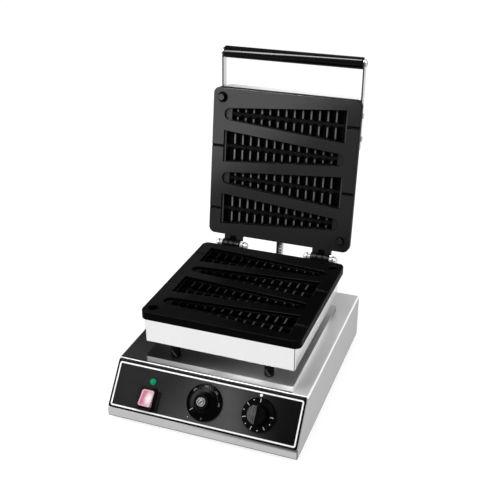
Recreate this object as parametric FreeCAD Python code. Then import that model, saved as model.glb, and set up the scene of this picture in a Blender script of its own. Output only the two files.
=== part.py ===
import FreeCAD, Part
import math
import os

# Counter-top waffle stick baker: a stainless housing with a sloping control panel, a baking head on four
# legs, and a hinged lid. Millimetres, +X right, +Y to the back, +Z up, with z = 0 on the table.
# Lid pieces are drawn closed and then turned open about the hinge, which is the pose the part is kept in.

V = FreeCAD.Vector

# Fits
gap = 0.3  # between pieces that move past each other
running = 0.05  # radial, a pin turning in its bore
snug = 0.05  # radial, a pin that is fixed in its bore
bolt_room = 0.3  # radial, a screw passing through a clearance hole

# Housing
housing_width = 250.0
housing_depth = 301.0
housing_height = 62.5
housing_back = 130.5
strip_height = 12.0
panel_lean = 39.5  # how far the sloping panel leans back between its two bends
sheet = 1.2
bend = 3.0
seam_inner = 0.3  # inside radius of the sharp folds down the housing's sides
flange_width = 12.0

# Bottom cover and feet
cover_sheet = 1.0
cover_inset = 2.0
foot_height = 7.0
foot_radius = 11.0
foot_taper = 1.5
foot_inset = 30.0
foot_recess = 4.0
vent_width = 4.0
vent_length = 60.0
vent_pitch = 12.0
vent_count = 8

# Screws and nuts
screw_radius = 2.0
screw_head_radius = 3.8
screw_head_height = 2.0
screw_nut_across = 7.0
screw_nut_height = 3.0
bolt_radius = 2.5
bolt_head_radius = 4.4
bolt_head_height = 3.2
thread_grip = 16.0

# Control panel and what sits on it
panel_thickness = 0.8
panel_margin = 1.6
panel_corner = 2.0
dial_up = 31.5
temperature_x = 0.5
timer_x = 70.5
dial_radius = 23.0
dial_float = 0.6
hub_radius = 10.0
temperature_knob_height = 14.4
cap_radius = 5.4
cap_height = 1.8
cap_slot = 1.2
timer_radius = 20.6
timer_knob_height = 13.4
timer_grip_radius = 12.9
timer_step = 2.4  # the thumb side of the grip lies this much lower
timer_skirt = 4.4
shaft_radius = 3.0
neck_radius = 5.0
neck_nut_across = 14.0
neck_nut_height = 2.5
control_body = 36.0
control_depth = 30.0
rocker_x = -74.7
rocker_up = 20.3
rocker_width = 16.4
rocker_length = 21.2
rocker_swing = 14.0  # degrees from one stop to the other
rocker_pivot_depth = 3.5
rocker_high = 7.8  # the lower end stands out further than the upper one
rocker_low = 3.2
rocker_valley = 0.9
rocker_wall = 1.4
rocker_depth = 20.0
rocker_rim = 1.6
lamp_x = -71.5
lamp_up = 42.4
lamp_radius = 4.0
lamp_depth = 20.0
lens_rise = 3.4
lens_flange_width = 0.7

# Plinth and legs
head_x = 8.0  # the baking head stands this far to the right of the housing's middle
plinth_height = 8.2
plinth_inset = 0.5
plinth_step = 2.5
leg_radius = 6.0
leg_height = 19.8
leg_spread = 62.0
leg_inset = 12.0

# Casings
casing_height = 32.0
casing_sheet = 1.0
casing_bend = 3.0

# Baking plates
plate_width = 207.0
plate_length = 210.0
plate_front = -126.5
plate_rim = 11.0
plate_corner = 9.0
rim_side = 6.0  # how far the rim stands out past the casing
rim_front = 1.0
rim_back = 7.0
block_side_room = 8.0
block_end_room = 4.8
block_depth = 9.0
pillar_radius = 7.0
parting_gap = 0.4

# Moulds
mould_count = 4
mould_pitch = 45.3
mould_shift = -1.0
mould_narrow_end = -78.0
mould_wide_end = 86.3
mould_narrow = 17.2
mould_wide = 44.8
mould_recess = 4.5
mould_depth = 13.0
rib_count = 13
rib_pitch = 11.6
rib_first = 9.7
rib_top = 2.2
rib_draft = 1.2
end_ledge = 2.3
spine_width = 3.0
spine_arch = 2.6
channel_width = 8.0
channel_depth = 7.0
pocket_ledge = 0.4
stick_radius = 2.0
boss_radius = 5.4
boss_height = 5.0
boss_chamfer = 1.2
boss_side = 12.7
boss_front_end = 13.0
boss_back_end = 16.5

# Heaters
heater_radius = 4.0
heater_step = 28.0
heater_sink = 1.5
heater_front_room = 36.0
heater_turn_room = 41.5
heater_end_room = 20.0
heater_pin_radius = 2.0
heater_pin_length = 12.0
clamp_thickness = 3.0
clamp_margin = 12.0
insulation_thickness = 8.0
insulation_room = 6.0
bulb_radius = 3.0
bulb_length = 70.0
capillary_radius = 0.8
capillary_bend = 10.0

# Hinges
hinge_spread = 65.5
hinge_setback = 11.7
hinge_drop = 3.0
knuckle_radius = 6.5
knuckle_middle = 8.0
knuckle_outer = 8.9
pin_radius = 3.0
dome_across = 11.0
dome_hex = 5.2
dome_radius = 5.3
pin_end = 7.0
bridge_room = 8.8
heel_depth = 9.6
lid_open_angle = 97.6

# Handle
handle_reach = 45.9
handle_behind = 24.5
grip_radius = 8.0
grip_rod_radius = 4.0
arm_thickness = 2.0
arm_width = 11.6
arm_length = 113.0
arm_tilt = 6.8  # degrees that the arms slope up from the grip to the casing of the closed lid
arm_screw_places = (71.0, 103.0)
button_radius = 4.0
button_height = 2.2

# Conduit
hose_radius = 5.5
hose_valley = 4.7
hose_bore = 3.8
hose_rib_pitch = 3.4
hose_straight = 13.0
fitting_wall = 1.3
fitting_flange = 2.0
fitting_socket = 8.0
fitting_tail_radius = 4.9
fitting_tail = 3.4
deck_flange_radius = 9.0
locknut_across = 13.0
locknut_height = 3.0

# Supply side
gland_x = -75.5
gland_up = 27.0
gland_radius = 9.0
gland_length = 20.0
gland_bore = 3.8
terminal_length = 60.0
terminal_width = 22.0
terminal_height = 16.0
terminal_back_room = 66.0
loom_radius = 3.5
loom_height = 8.0
loom_bend = 12.0

# Levels and lines that follow from the sizes
housing_bottom = foot_height + cover_sheet
deck = housing_bottom + housing_height
strip_top = housing_bottom + strip_height
housing_front = housing_back - housing_depth
panel_rise = deck - strip_top
panel_slant = math.hypot(panel_lean, panel_rise)
slope_y = panel_lean / panel_slant
slope_z = panel_rise / panel_slant
plinth_top = deck + plinth_height
casing_bottom = plinth_top + leg_height
casing_floor = casing_bottom + casing_sheet
casing_top = casing_bottom + casing_height
plate_top = casing_top + plate_rim
plate_back = plate_front + plate_length
plate_half = plate_width / 2
casing_half = plate_half - rim_side
casing_front = plate_front + rim_front
casing_back = plate_back - rim_back
block_bottom = casing_top - block_depth
hinge_y = plate_back + hinge_setback
hinge_z = plate_top - hinge_drop
lid_face = plate_top + parting_gap
heater_z = block_bottom - heater_radius + heater_sink
clamp_top = heater_z - heater_radius - snug
handle_y = plate_front - handle_reach
handle_z = hinge_z + handle_behind
hinge_places = (head_x - hinge_spread, head_x + hinge_spread)
leg_places = [
    (head_x + side * leg_spread, y)
    for side in (-1, 1)
    for y in (casing_front + leg_inset, casing_back - leg_inset)
]


# Shapes that are used again and again
def block(x0, x1, y0, y1, z0, z1):
    return Part.makeBox(x1 - x0, y1 - y0, z1 - z0, V(x0, y0, z0))


def rod(radius, start, end):
    line = V(*end) - V(*start)
    return Part.makeCylinder(radius, line.Length, V(*start), line)


def upright(radius, x, y, z0, z1):
    return Part.makeCylinder(radius, z1 - z0, V(x, y, z0))


def rounded_block(x0, x1, y0, y1, z0, z1, radius):
    solid = block(x0, x1, y0, y1, z0, z1)
    corners = [edge for edge in solid.Edges if edge.BoundBox.ZLength > (z1 - z0) / 2]
    return solid.makeFillet(radius, corners)


def face_of(points):
    return Part.Face(Part.makePolygon([V(*p) for p in points + points[:1]]))


def hex_prism(across, start, end):
    line = V(*end) - V(*start)
    ring = []
    for corner in range(6):
        angle = math.radians(60 * corner)
        reach = across / math.sqrt(3)
        ring.append((reach * math.cos(angle), reach * math.sin(angle), 0))
    prism = face_of(ring).extrude(V(0, 0, line.Length))
    prism.Placement = FreeCAD.Placement(V(*start), FreeCAD.Rotation(V(0, 0, 1), line))
    return prism


def revolve(outline):
    return face_of([(r, 0, z) for r, z in outline]).revolve(V(0, 0, 0), V(0, 0, 1), 360)


def rounded_wire(points, radius):
    """A path of straight runs whose inner corners are arcs of one radius."""
    edges = []
    here = V(*points[0])
    for before, corner, after in zip(points, points[1:], points[2:]):
        corner = V(*corner)
        back = (V(*before) - corner).normalize()
        on = (V(*after) - corner).normalize()
        half = back.getAngle(on) / 2
        reach = radius / math.tan(half)
        middle = (back + on).normalize()
        turn = corner + middle * (radius / math.sin(half) - radius)
        edges.append(Part.LineSegment(here, corner + back * reach).toShape())
        here = corner + on * reach
        edges.append(Part.Arc(corner + back * reach, turn, here).toShape())
    edges.append(Part.LineSegment(here, V(*points[-1])).toShape())
    return Part.Wire(edges)


def tube(path, radius):
    first = path.OrderedEdges[0]
    start = path.OrderedVertexes[0].Point
    ring = Part.Wire(Part.Circle(start, first.tangentAt(first.FirstParameter), radius).toShape())
    return path.makePipeShell([ring], True, False)


def on_panel(shape):
    """From panel coordinates (x across, y up the slope, z outwards) into the part's frame."""
    rows = (1, 0, 0, 0, 0, slope_y, -slope_z, housing_front, 0, slope_z, slope_y, strip_top, 0, 0, 0, 1)
    return shape.transformed(FreeCAD.Matrix(*rows), True)


def opened(shape):
    """A lid piece, drawn closed, turned to the open stop."""
    return shape.copy().rotate(V(0, hinge_y, hinge_z), V(1, 0, 0), -lid_open_angle)


def lid_twin(shape):
    """The lid's copy of a lower piece, mirrored in the parting plane of the closed plates."""
    return shape.mirror(V(0, 0, plate_top + parting_gap / 2), V(0, 0, 1))


def joined(first, *others):
    return first.fuse(others).removeSplitter()


def group(solids):
    return Part.makeCompound(list(solids))


def pan_screw(head_seat, direction, length, radius, head_radius, head_height):
    """A screw whose head sits on head_seat and whose shank runs along direction."""
    seat = V(*head_seat)
    way = V(*direction).normalize()
    shank = Part.makeCylinder(radius, length, seat, way)
    head = Part.makeCylinder(head_radius, head_height, seat - way * head_height, way)
    rims = [edge for edge in head.Edges if edge.Closed]
    outer = min(rims, key=lambda edge: edge.CenterOfMass.dot(way))
    return head.makeFillet(head_height * 0.4, [outer]).fuse(shank).removeSplitter()


def small_screw(head_seat, direction, length):
    return pan_screw(head_seat, direction, length, screw_radius, screw_head_radius, screw_head_height)


pieces = {}


# Housing: one folded sheet with a flange turned in round its open bottom
def housing_form(inset, floor):
    half = housing_width / 2 - inset
    front = housing_front + inset
    back = housing_back - inset
    top = deck - inset
    low = (inset - inset * slope_z) / slope_y
    high = (panel_rise - inset + inset * slope_y) / slope_z
    low_bend = (front, strip_top - inset * slope_y + low * slope_z)
    high_bend = (front - inset + inset * slope_z + high * slope_y, top)
    corners = [(front, floor), low_bend, high_bend, (back, top), (back, floor)]
    radius = bend - inset
    side = rounded_wire([(-half, y, z) for y, z in corners], radius)
    base = Part.LineSegment(V(-half, back, floor), V(-half, front, floor)).toShape()
    solid = Part.Face(Part.Wire(side.Edges + [base])).extrude(V(2 * half, 0, 0))
    ends = [e for e in solid.Edges if e.BoundBox.XLength < 0.001 and e.BoundBox.ZMax > floor + 0.001]
    return solid.makeFillet(seam_inner + sheet - inset, ends)


flange_room = sheet + flange_width
conduit_behind = plate_rim + hinge_drop + parting_gap + hose_radius + gap + fitting_wall + gap
open_turn = math.radians(lid_open_angle)
along_lid = V(0, -math.cos(open_turn), math.sin(open_turn))
into_lid = V(0, math.sin(open_turn), math.cos(open_turn))
lid_wall = hinge_y - casing_back
lid_entry = V(head_x, hinge_y, hinge_z) + along_lid * lid_wall + into_lid * conduit_behind
hose_lean = math.radians(lid_open_angle - 90)
hose_bend_z = (deck + lid_entry.z) / 2
conduit_y = lid_entry.y - (lid_entry.z - hose_bend_z) * math.tan(hose_lean)
capillary_drop_y = casing_back - heater_turn_room - heater_step / 2
rocker_room_x = rocker_width / 2 + gap
rocker_room_y = rocker_length / 2 + rocker_pivot_depth * math.sin(math.radians(rocker_swing)) + 2 * gap
rocker_box_x = rocker_room_x + rocker_wall
rocker_box_y = rocker_room_y + rocker_wall
gland_z = housing_bottom + gland_up
dial_places = (temperature_x, timer_x)

rocker_hole = block(
    rocker_x - rocker_box_x - snug,
    rocker_x + rocker_box_x + snug,
    rocker_up - rocker_box_y - snug,
    rocker_up + rocker_box_y + snug,
    -2 * sheet,
    2 * sheet,
)
lamp_hole = upright(lamp_radius + snug, lamp_x, lamp_up, -2 * sheet, 2 * sheet)
deck_reach = 2 * sheet
wire_hole_radius = 4.0

holes = [on_panel(rocker_hole), on_panel(lamp_hole)]
holes += [on_panel(upright(neck_radius + snug, x, dial_up, -deck_reach, deck_reach)) for x in dial_places]
holes += [upright(bolt_radius + bolt_room, x, y, deck - deck_reach, deck + deck_reach) for x, y in leg_places]
holes.append(upright(wire_hole_radius, head_x, capillary_drop_y, deck - deck_reach, deck + deck_reach))
holes.append(upright(fitting_tail_radius + snug, head_x, conduit_y, deck - deck_reach, deck + deck_reach))
wall_faces = [(gland_x, housing_back + reach, gland_z) for reach in (-deck_reach, deck_reach)]
holes.append(rod(gland_radius - 1 + snug, *wall_faces))
cover_screw_x = housing_width / 2 - sheet - flange_width / 2
housing_middle = (housing_front + housing_back) / 2
cover_screw_reach = housing_depth / 2 - 2 * foot_inset
cover_screw_places = [
    (side * cover_screw_x, housing_middle + step * cover_screw_reach)
    for side in (-1, 1)
    for step in (-1, 0, 1)
]
holes += [
    upright(screw_radius + snug, x, y, housing_bottom - sheet, housing_bottom + 2 * sheet)
    for x, y in cover_screw_places
]
floor_opening = block(
    -housing_width / 2 + flange_room,
    housing_width / 2 - flange_room,
    housing_front + flange_room,
    housing_back - flange_room,
    housing_bottom - sheet,
    housing_bottom + 2 * sheet,
)
shell = housing_form(0, housing_bottom).cut(housing_form(sheet, housing_bottom + sheet))
pieces["housing_shell"] = shell.cut([floor_opening] + holes)

# Bottom cover: a flat sheet screwed under the flange, with vents and the four feet
cover_half = housing_width / 2 - cover_inset
cover = rounded_block(
    -cover_half,
    cover_half,
    housing_front + cover_inset,
    housing_back - cover_inset,
    foot_height,
    housing_bottom,
    bend,
)
foot_places = [
    (side * (housing_width / 2 - foot_inset), y)
    for side in (-1, 1)
    for y in (housing_front + foot_inset, housing_back - foot_inset)
]
terminal_back = housing_back - terminal_back_room
terminal_screw_places = [
    (rocker_x + side * (terminal_length / 2 - 2 * screw_radius), terminal_back - terminal_width / 2)
    for side in (-1, 1)
]
cover_cuts = [
    upright(screw_radius + bolt_room, x, y, foot_height - 1, housing_bottom + 1)
    for x, y in foot_places + cover_screw_places + terminal_screw_places
]
for row in range(vent_count):
    y = housing_middle + (row - (vent_count - 1) / 2) * vent_pitch
    ends = (head_x - vent_length / 2, head_x + vent_length / 2)
    slot = block(*ends, y - vent_width / 2, y + vent_width / 2, foot_height - 1, housing_bottom + 1)
    cover_cuts.append(slot)
pieces["bottom_cover"] = cover.cut(cover_cuts)
pieces["cover_screws"] = group(
    small_screw((x, y, foot_height), (0, 0, 1), cover_sheet + sheet + 5) for x, y in cover_screw_places
)


# Feet: turned rubber pads with the screw sunk into the sole
def foot(x, y):
    pad = Part.makeCone(foot_radius - foot_taper, foot_radius, foot_height, V(x, y, 0))
    recess = upright(screw_head_radius + bolt_room, x, y, -1, foot_recess)
    return pad.cut([recess, upright(screw_radius + snug, x, y, 0, foot_height + 1)])


foot_screw_length = foot_height - foot_recess + cover_sheet + screw_nut_height + 1
pieces["rubber_feet"] = group(foot(x, y) for x, y in foot_places)
pieces["foot_screws"] = group(
    small_screw((x, y, foot_recess), (0, 0, 1), foot_screw_length) for x, y in foot_places
)


def plain_nut(start, end):
    return hex_prism(screw_nut_across, start, end).cut(rod(screw_radius + snug, start, end))


pieces["foot_nuts"] = group(
    plain_nut((x, y, housing_bottom), (x, y, housing_bottom + screw_nut_height)) for x, y in foot_places
)

# Control panel: a thin printed plate on the slope, cut for the controls
panel_half = housing_width / 2 - panel_margin
panel_ends = (panel_margin, panel_slant - panel_margin)
panel = rounded_block(-panel_half, panel_half, *panel_ends, 0, panel_thickness, panel_corner)
panel_cuts = [rocker_hole, lamp_hole]
panel_cuts += [upright(neck_nut_across * 0.6, x, dial_up, -1, panel_thickness + 1) for x in dial_places]
pieces["control_panel"] = on_panel(panel.cut(panel_cuts))


# Thermostat and timer: boxes behind the sheet, each held by a nut on its threaded neck
def control_box(x):
    half = control_body / 2
    body = rounded_block(
        x - half, x + half, dial_up - half, dial_up + half, -sheet - control_depth, -sheet, bend
    )
    neck = upright(neck_radius, x, dial_up, -sheet - 1, neck_nut_height)
    bore = upright(shaft_radius + running, x, dial_up, -sheet - control_depth * 0.7, neck_nut_height + 1)
    return on_panel(joined(body, neck).cut(bore))


def control_shaft(x, top):
    return on_panel(upright(shaft_radius, x, dial_up, -sheet - control_depth * 0.7 + gap, top))


def neck_nut(x):
    start = (x, dial_up, 0)
    end = (x, dial_up, neck_nut_height)
    return on_panel(hex_prism(neck_nut_across, start, end).cut(rod(neck_radius + snug, start, end)))


dial_under = panel_thickness + dial_float
knob_hollow = neck_nut_across / math.sqrt(3) + 4 * gap
hollow_top = neck_nut_height + 4 * gap
hub_bore = shaft_radius + snug
temperature_top = dial_under + temperature_knob_height
timer_top = dial_under + timer_knob_height
cap_seat = temperature_top - cap_height / 2
temperature_shaft_top = cap_seat - 3 * gap - 1
timer_shaft_top = timer_top - 4
pieces["thermostat_body"] = control_box(temperature_x)
pieces["timer_body"] = control_box(timer_x)
pieces["thermostat_shaft"] = control_shaft(temperature_x, temperature_shaft_top)
pieces["timer_shaft"] = control_shaft(timer_x, timer_shaft_top)
pieces["control_nuts"] = group(neck_nut(x) for x in dial_places)

# Temperature knob: a wide dial skirt that rises to a tall hub with a slotted metal cap
temperature_outline = [
    (knob_hollow, dial_under),
    (dial_radius, dial_under),
    (dial_radius, dial_under + 1.6),
    (dial_radius - 1, dial_under + 2.6),
    (hub_radius + 3, dial_under + 5),
    (hub_radius, dial_under + 8),
    (hub_radius - 0.6, temperature_top - 1),
    (hub_radius - 1.6, temperature_top),
    (cap_radius + snug, temperature_top),
    (cap_radius + snug, cap_seat),
    (0, cap_seat),
    (0, temperature_shaft_top + gap),
    (hub_bore, temperature_shaft_top + gap),
    (hub_bore, hollow_top),
    (knob_hollow, hollow_top),
]
temperature_knob = revolve(temperature_outline)
temperature_knob.translate(V(temperature_x, dial_up, 0))
pieces["temperature_knob"] = on_panel(temperature_knob)
cap = upright(cap_radius, temperature_x, dial_up, cap_seat, cap_seat + cap_height)
cap_cut = block(
    temperature_x - cap_radius - 1,
    temperature_x + cap_radius + 1,
    dial_up - cap_slot / 2,
    dial_up + cap_slot / 2,
    cap_seat + cap_height * 0.55,
    cap_seat + cap_height + 1,
)
pieces["temperature_knob_cap"] = on_panel(cap.cut(cap_cut))

# Timer knob: a flat dial with a round grip, whose left half is stepped down for the thumb
timer_outline = [
    (knob_hollow, dial_under),
    (timer_radius, dial_under),
    (timer_radius, dial_under + timer_skirt - 1),
    (timer_radius - 1, dial_under + timer_skirt),
    (timer_grip_radius, dial_under + timer_skirt),
    (timer_grip_radius - 1, timer_top - 1),
    (timer_grip_radius - 2, timer_top),
    (0, timer_top),
    (0, timer_shaft_top + gap),
    (hub_bore, timer_shaft_top + gap),
    (hub_bore, hollow_top),
    (knob_hollow, hollow_top),
]
thumb_cut = block(-timer_radius, 0, -timer_radius, timer_radius, timer_top - timer_step, timer_top + 1)
timer_knob = revolve(timer_outline).cut(thumb_cut)
timer_knob.translate(V(timer_x, dial_up, 0))
pieces["timer_knob"] = on_panel(timer_knob)

# Rocker switch: a hollow snap-in frame and a rocker that tilts on two stub pins
frame_under = panel_thickness
frame = rounded_block(
    rocker_x - rocker_box_x - rocker_rim,
    rocker_x + rocker_box_x + rocker_rim,
    rocker_up - rocker_box_y - rocker_rim,
    rocker_up + rocker_box_y + rocker_rim,
    frame_under,
    frame_under + rocker_rim,
    panel_corner,
)
frame_box = block(
    rocker_x - rocker_box_x,
    rocker_x + rocker_box_x,
    rocker_up - rocker_box_y,
    rocker_up + rocker_box_y,
    -rocker_depth,
    frame_under,
)
frame_hollow = block(
    rocker_x - rocker_room_x,
    rocker_x + rocker_room_x,
    rocker_up - rocker_room_y,
    rocker_up + rocker_room_y,
    -rocker_depth / 2,
    frame_under + rocker_rim + 1,
)
stub_radius = 1.4
stub_reach = rocker_room_x + rocker_wall * 0.6
pivot = (rocker_x, rocker_up, -rocker_pivot_depth)
stub_bore = rod(
    stub_radius + running,
    (rocker_x - stub_reach - gap, rocker_up, -rocker_pivot_depth),
    (rocker_x + stub_reach + gap, rocker_up, -rocker_pivot_depth),
)
pieces["rocker_frame"] = on_panel(joined(frame, frame_box).cut([frame_hollow, stub_bore]))
half_length = rocker_length / 2
rocker_side = [
    (-half_length, -rocker_pivot_depth - 1),
    (half_length, -rocker_pivot_depth - 1),
    (half_length, rocker_low),
    (0, (rocker_low + rocker_high) / 2 - rocker_valley),
    (-half_length, rocker_high),
]
rocker_left = rocker_x - rocker_width / 2
rocker = face_of([(rocker_left, rocker_up + y, z) for y, z in rocker_side]).extrude(V(rocker_width, 0, 0))
stubs = rod(
    stub_radius,
    (rocker_x - stub_reach, rocker_up, -rocker_pivot_depth),
    (rocker_x + stub_reach, rocker_up, -rocker_pivot_depth),
)
rocker = joined(rocker, stubs)
rocker.rotate(V(*pivot), V(1, 0, 0), -rocker_swing / 2)
pieces["rocker"] = on_panel(rocker)

# Pilot lamp: a long holder behind the panel with a domed lens on its face
lens_flange = upright(lamp_radius + lens_flange_width, lamp_x, lamp_up, panel_thickness, panel_thickness + 0.9)
dome_ball = lamp_radius * 1.1
dome_centre = panel_thickness + lens_rise - dome_ball
lens_dome = Part.makeSphere(dome_ball, V(lamp_x, lamp_up, dome_centre))
lens_top = lens_dome.common(upright(lamp_radius, lamp_x, lamp_up, panel_thickness + 0.5, deck))
pieces["pilot_lamp_lens"] = on_panel(joined(lens_flange, lens_top))
pieces["pilot_lamp_body"] = on_panel(upright(lamp_radius, lamp_x, lamp_up, -lamp_depth, panel_thickness))

# Plinth: a low upturned tray, stiffened under each leg by a spacer
plinth_half = casing_half - plinth_inset
plinth_front = casing_front - plinth_step
plinth_back = casing_back - plinth_inset


def plinth_block(inset, top):
    sides = (head_x - plinth_half + inset, head_x + plinth_half - inset)
    return rounded_block(*sides, plinth_front + inset, plinth_back - inset, deck, top, bend - inset)


plinth_cuts = [
    upright(bolt_radius + bolt_room, x, y, plinth_top - 2 * sheet, plinth_top + 1) for x, y in leg_places
]
plinth_cuts.append(upright(wire_hole_radius, head_x, capillary_drop_y, deck, plinth_top + 1))
tray = plinth_block(0, plinth_top).cut(plinth_block(sheet, plinth_top - sheet))
pieces["plinth_tray"] = tray.cut(plinth_cuts)


def sleeve(outer, inner, x, y, z0, z1):
    return upright(outer, x, y, z0, z1).cut(upright(inner, x, y, z0 - 1, z1 + 1))


bolt_hole = bolt_radius + bolt_room
pieces["plinth_spacers"] = group(
    sleeve(leg_radius, bolt_hole, x, y, deck, plinth_top - sheet) for x, y in leg_places
)
pieces["stand_legs"] = group(
    sleeve(leg_radius, bolt_hole, x, y, plinth_top, casing_bottom) for x, y in leg_places
)
leg_bolt_length = casing_floor + thread_grip - (deck - sheet)
pieces["leg_bolts"] = group(
    pan_screw(
        (x, y, deck - sheet), (0, 0, 1), leg_bolt_length, bolt_radius, bolt_head_radius, bolt_head_height
    )
    for x, y in leg_places
)


# Casings: folded boxes with rounded corners, open towards the plate
def casing_box(inset, z0, z1):
    sides = (head_x - casing_half + inset, head_x + casing_half - inset)
    return rounded_block(*sides, casing_front + inset, casing_back - inset, z0, z1, casing_bend - inset)


casing = casing_box(0, casing_bottom, casing_top)
bottom_edges = [edge for edge in casing.Edges if edge.BoundBox.ZMax < casing_bottom + 0.001]
casing = casing.makeFillet(casing_bend / 2, bottom_edges)
casing = casing.cut(casing_box(casing_sheet, casing_floor, casing_top + 1))
casing = casing.cut(
    [upright(bolt_hole, x, y, casing_bottom - 1, casing_floor + 1) for x, y in leg_places]
)
wire_way = upright(wire_hole_radius, head_x, capillary_drop_y, casing_bottom - 1, casing_floor + 1)
pieces["lower_casing"] = casing.cut(wire_way)


# Moulds: a tapered recess with a round nose, cross ribs, deep pockets on both sides and a stick channel
def mould_half(u):
    share = (u - mould_narrow_end) / (mould_wide_end - mould_narrow_end)
    return (mould_narrow + (mould_wide - mould_narrow) * share) / 2


def drawn_in(points, inset):
    """The same convex outline, turning left, with every side moved inwards."""
    sides = []
    for (u0, v0), (u1, v1) in zip(points, points[1:] + points[:1]):
        length = math.hypot(u1 - u0, v1 - v0)
        across = ((v0 - v1) / length, (u1 - u0) / length)
        sides.append((across, across[0] * u0 + across[1] * v0 + inset))
    corners = []
    for (a, p), (b, q) in zip(sides[-1:] + sides[:-1], sides):
        turn = a[0] * b[1] - a[1] * b[0]
        corners.append(((p * b[1] - q * a[1]) / turn, (q * a[0] - p * b[0]) / turn))
    return corners


def mould_cuts(centre_y, way):
    """Everything that one mould takes out of a plate; its wide end points along way."""

    def place(u, v, depth):
        return (head_x + way * u, centre_y + v, plate_top - depth)

    narrow = mould_narrow / 2
    wide = mould_wide / 2
    start = [place(mould_narrow_end, narrow, -1), place(mould_wide_end, wide, -1)]
    end = [place(mould_wide_end, -wide, -1), place(mould_narrow_end, -narrow, -1)]
    sides = Part.makePolygon([V(*p) for p in start + end]).Edges
    nose = Part.Arc(V(*end[1]), V(*place(mould_narrow_end - narrow, 0, -1)), V(*start[0])).toShape()
    cuts = [Part.Face(Part.Wire(sides + [nose])).extrude(V(0, 0, -mould_recess - 1))]

    ribs = [mould_narrow_end + rib_first + rib_pitch * n for n in range(rib_count)]
    lefts = [mould_narrow_end + rib_top / 2] + [u + rib_top / 2 for u in ribs]
    rights = [u - rib_top / 2 for u in ribs] + [mould_wide_end - end_ledge]
    overlap = 0.4
    inner = spine_width / 2
    for u0, u1 in zip(lefts, rights):
        plan = [
            (u0, inner + spine_arch),
            (u0 + spine_arch, inner),
            (u1 - spine_arch, inner),
            (u1, inner + spine_arch),
            (u1, mould_half(u1) - pocket_ledge),
            (u0, mould_half(u0) - pocket_ledge),
        ]
        for side in (-1, 1):
            rings = []
            for outline, depth in ((plan, mould_recess - overlap), (drawn_in(plan, rib_draft), mould_depth)):
                corners = [V(*place(u, side * v, depth)) for u, v in outline]
                rings.append(Part.makePolygon(corners + corners[:1]))
            cuts.append(Part.makeLoft(rings, True, True))

    channel = [(lefts[0], -channel_width / 2), (rights[-1], channel_width / 2)]
    (x0, y0, _), (x1, y1, _) = [place(u, v, 0) for u, v in channel]
    cuts.append(
        block(min(x0, x1), max(x0, x1), y0, y1, plate_top - channel_depth, plate_top - mould_recess + overlap)
    )
    edge_x = head_x + way * (plate_half + 1)
    cuts.append(rod(stick_radius, place(mould_wide_end - 1, 0, 0), (edge_x, centre_y, plate_top)))
    return cuts


# Heater: a tubular element bent into four runs, half sunk into the back of the casting
def heater_tube(radius):
    columns = [head_x + (n - 1.5) * heater_step for n in range(4)]
    front = casing_front + heater_front_room
    turn = casing_back - heater_turn_room
    end = casing_back - heater_end_room
    half = heater_step / 2
    edges = []
    for n, x in enumerate(columns):
        away = (end if n == 0 else turn, front)
        back = (front, turn if n < 3 else end)
        first, last = away if n % 2 == 0 else back
        edges.append(Part.LineSegment(V(x, first, heater_z), V(x, last, heater_z)).toShape())
        if n < 3:
            bulge = last + (-half if n % 2 == 0 else half)
            stop = V(x + heater_step, last, heater_z)
            edges.append(Part.Arc(V(x, last, heater_z), V(x + half, bulge, heater_z), stop).toShape())
    return tube(Part.Wire(edges), radius)


heater_pins = [
    rod(
        heater_pin_radius,
        (head_x + side * 1.5 * heater_step, casing_back - heater_end_room - 1, heater_z),
        (head_x + side * 1.5 * heater_step, casing_back - heater_end_room + heater_pin_length, heater_z),
    )
    for side in (-1, 1)
]
lower_heater = joined(heater_tube(heater_radius), *heater_pins)
clamp_screw_places = [
    (head_x, casing_front + heater_front_room + heater_step / 2),
    (head_x - heater_step, casing_back - heater_turn_room),
    (head_x + heater_step, casing_back - heater_turn_room),
]
clamp_grip = 4.5
clamp_half = 1.5 * heater_step + clamp_margin
clamp_front = casing_front + heater_front_room - heater_step / 2
lower_clamp = rounded_block(
    head_x - clamp_half,
    head_x + clamp_half,
    clamp_front,
    casing_back - heater_end_room,
    clamp_top - clamp_thickness,
    clamp_top,
    bend,
)
clamp_cuts = [
    upright(bolt_hole, x, y, clamp_top - clamp_thickness - 1, clamp_top + 1) for x, y in clamp_screw_places
]
clamp_cuts.append(
    upright(wire_hole_radius, head_x, capillary_drop_y, clamp_top - clamp_thickness - 1, clamp_top + 1)
)
lower_clamp = lower_clamp.cut(clamp_cuts)
clamp_screw_length = block_bottom + clamp_grip - (clamp_top - clamp_thickness)
lower_clamp_screws = group(
    pan_screw(
        (x, y, clamp_top - clamp_thickness),
        (0, 0, 1),
        clamp_screw_length,
        bolt_radius,
        bolt_head_radius,
        bolt_head_height,
    )
    for x, y in clamp_screw_places
)

# Insulation: a mineral fibre slab on the floor of the casing
pad_top = casing_floor + insulation_thickness
pad_room = casing_sheet + insulation_room
pad_sides = (head_x - casing_half + pad_room, head_x + casing_half - pad_room)
pad_ends = (casing_front + pad_room, casing_back - pad_room)
pad = rounded_block(*pad_sides, *pad_ends, casing_floor, pad_top, bend)
pad_cuts = [upright(pillar_radius + gap, x, y, casing_floor - 1, pad_top + 1) for x, y in leg_places]
pad_cuts.append(upright(wire_hole_radius, head_x, capillary_drop_y, casing_floor - 1, pad_top + 1))
lower_insulation = pad.cut(pad_cuts)


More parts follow.
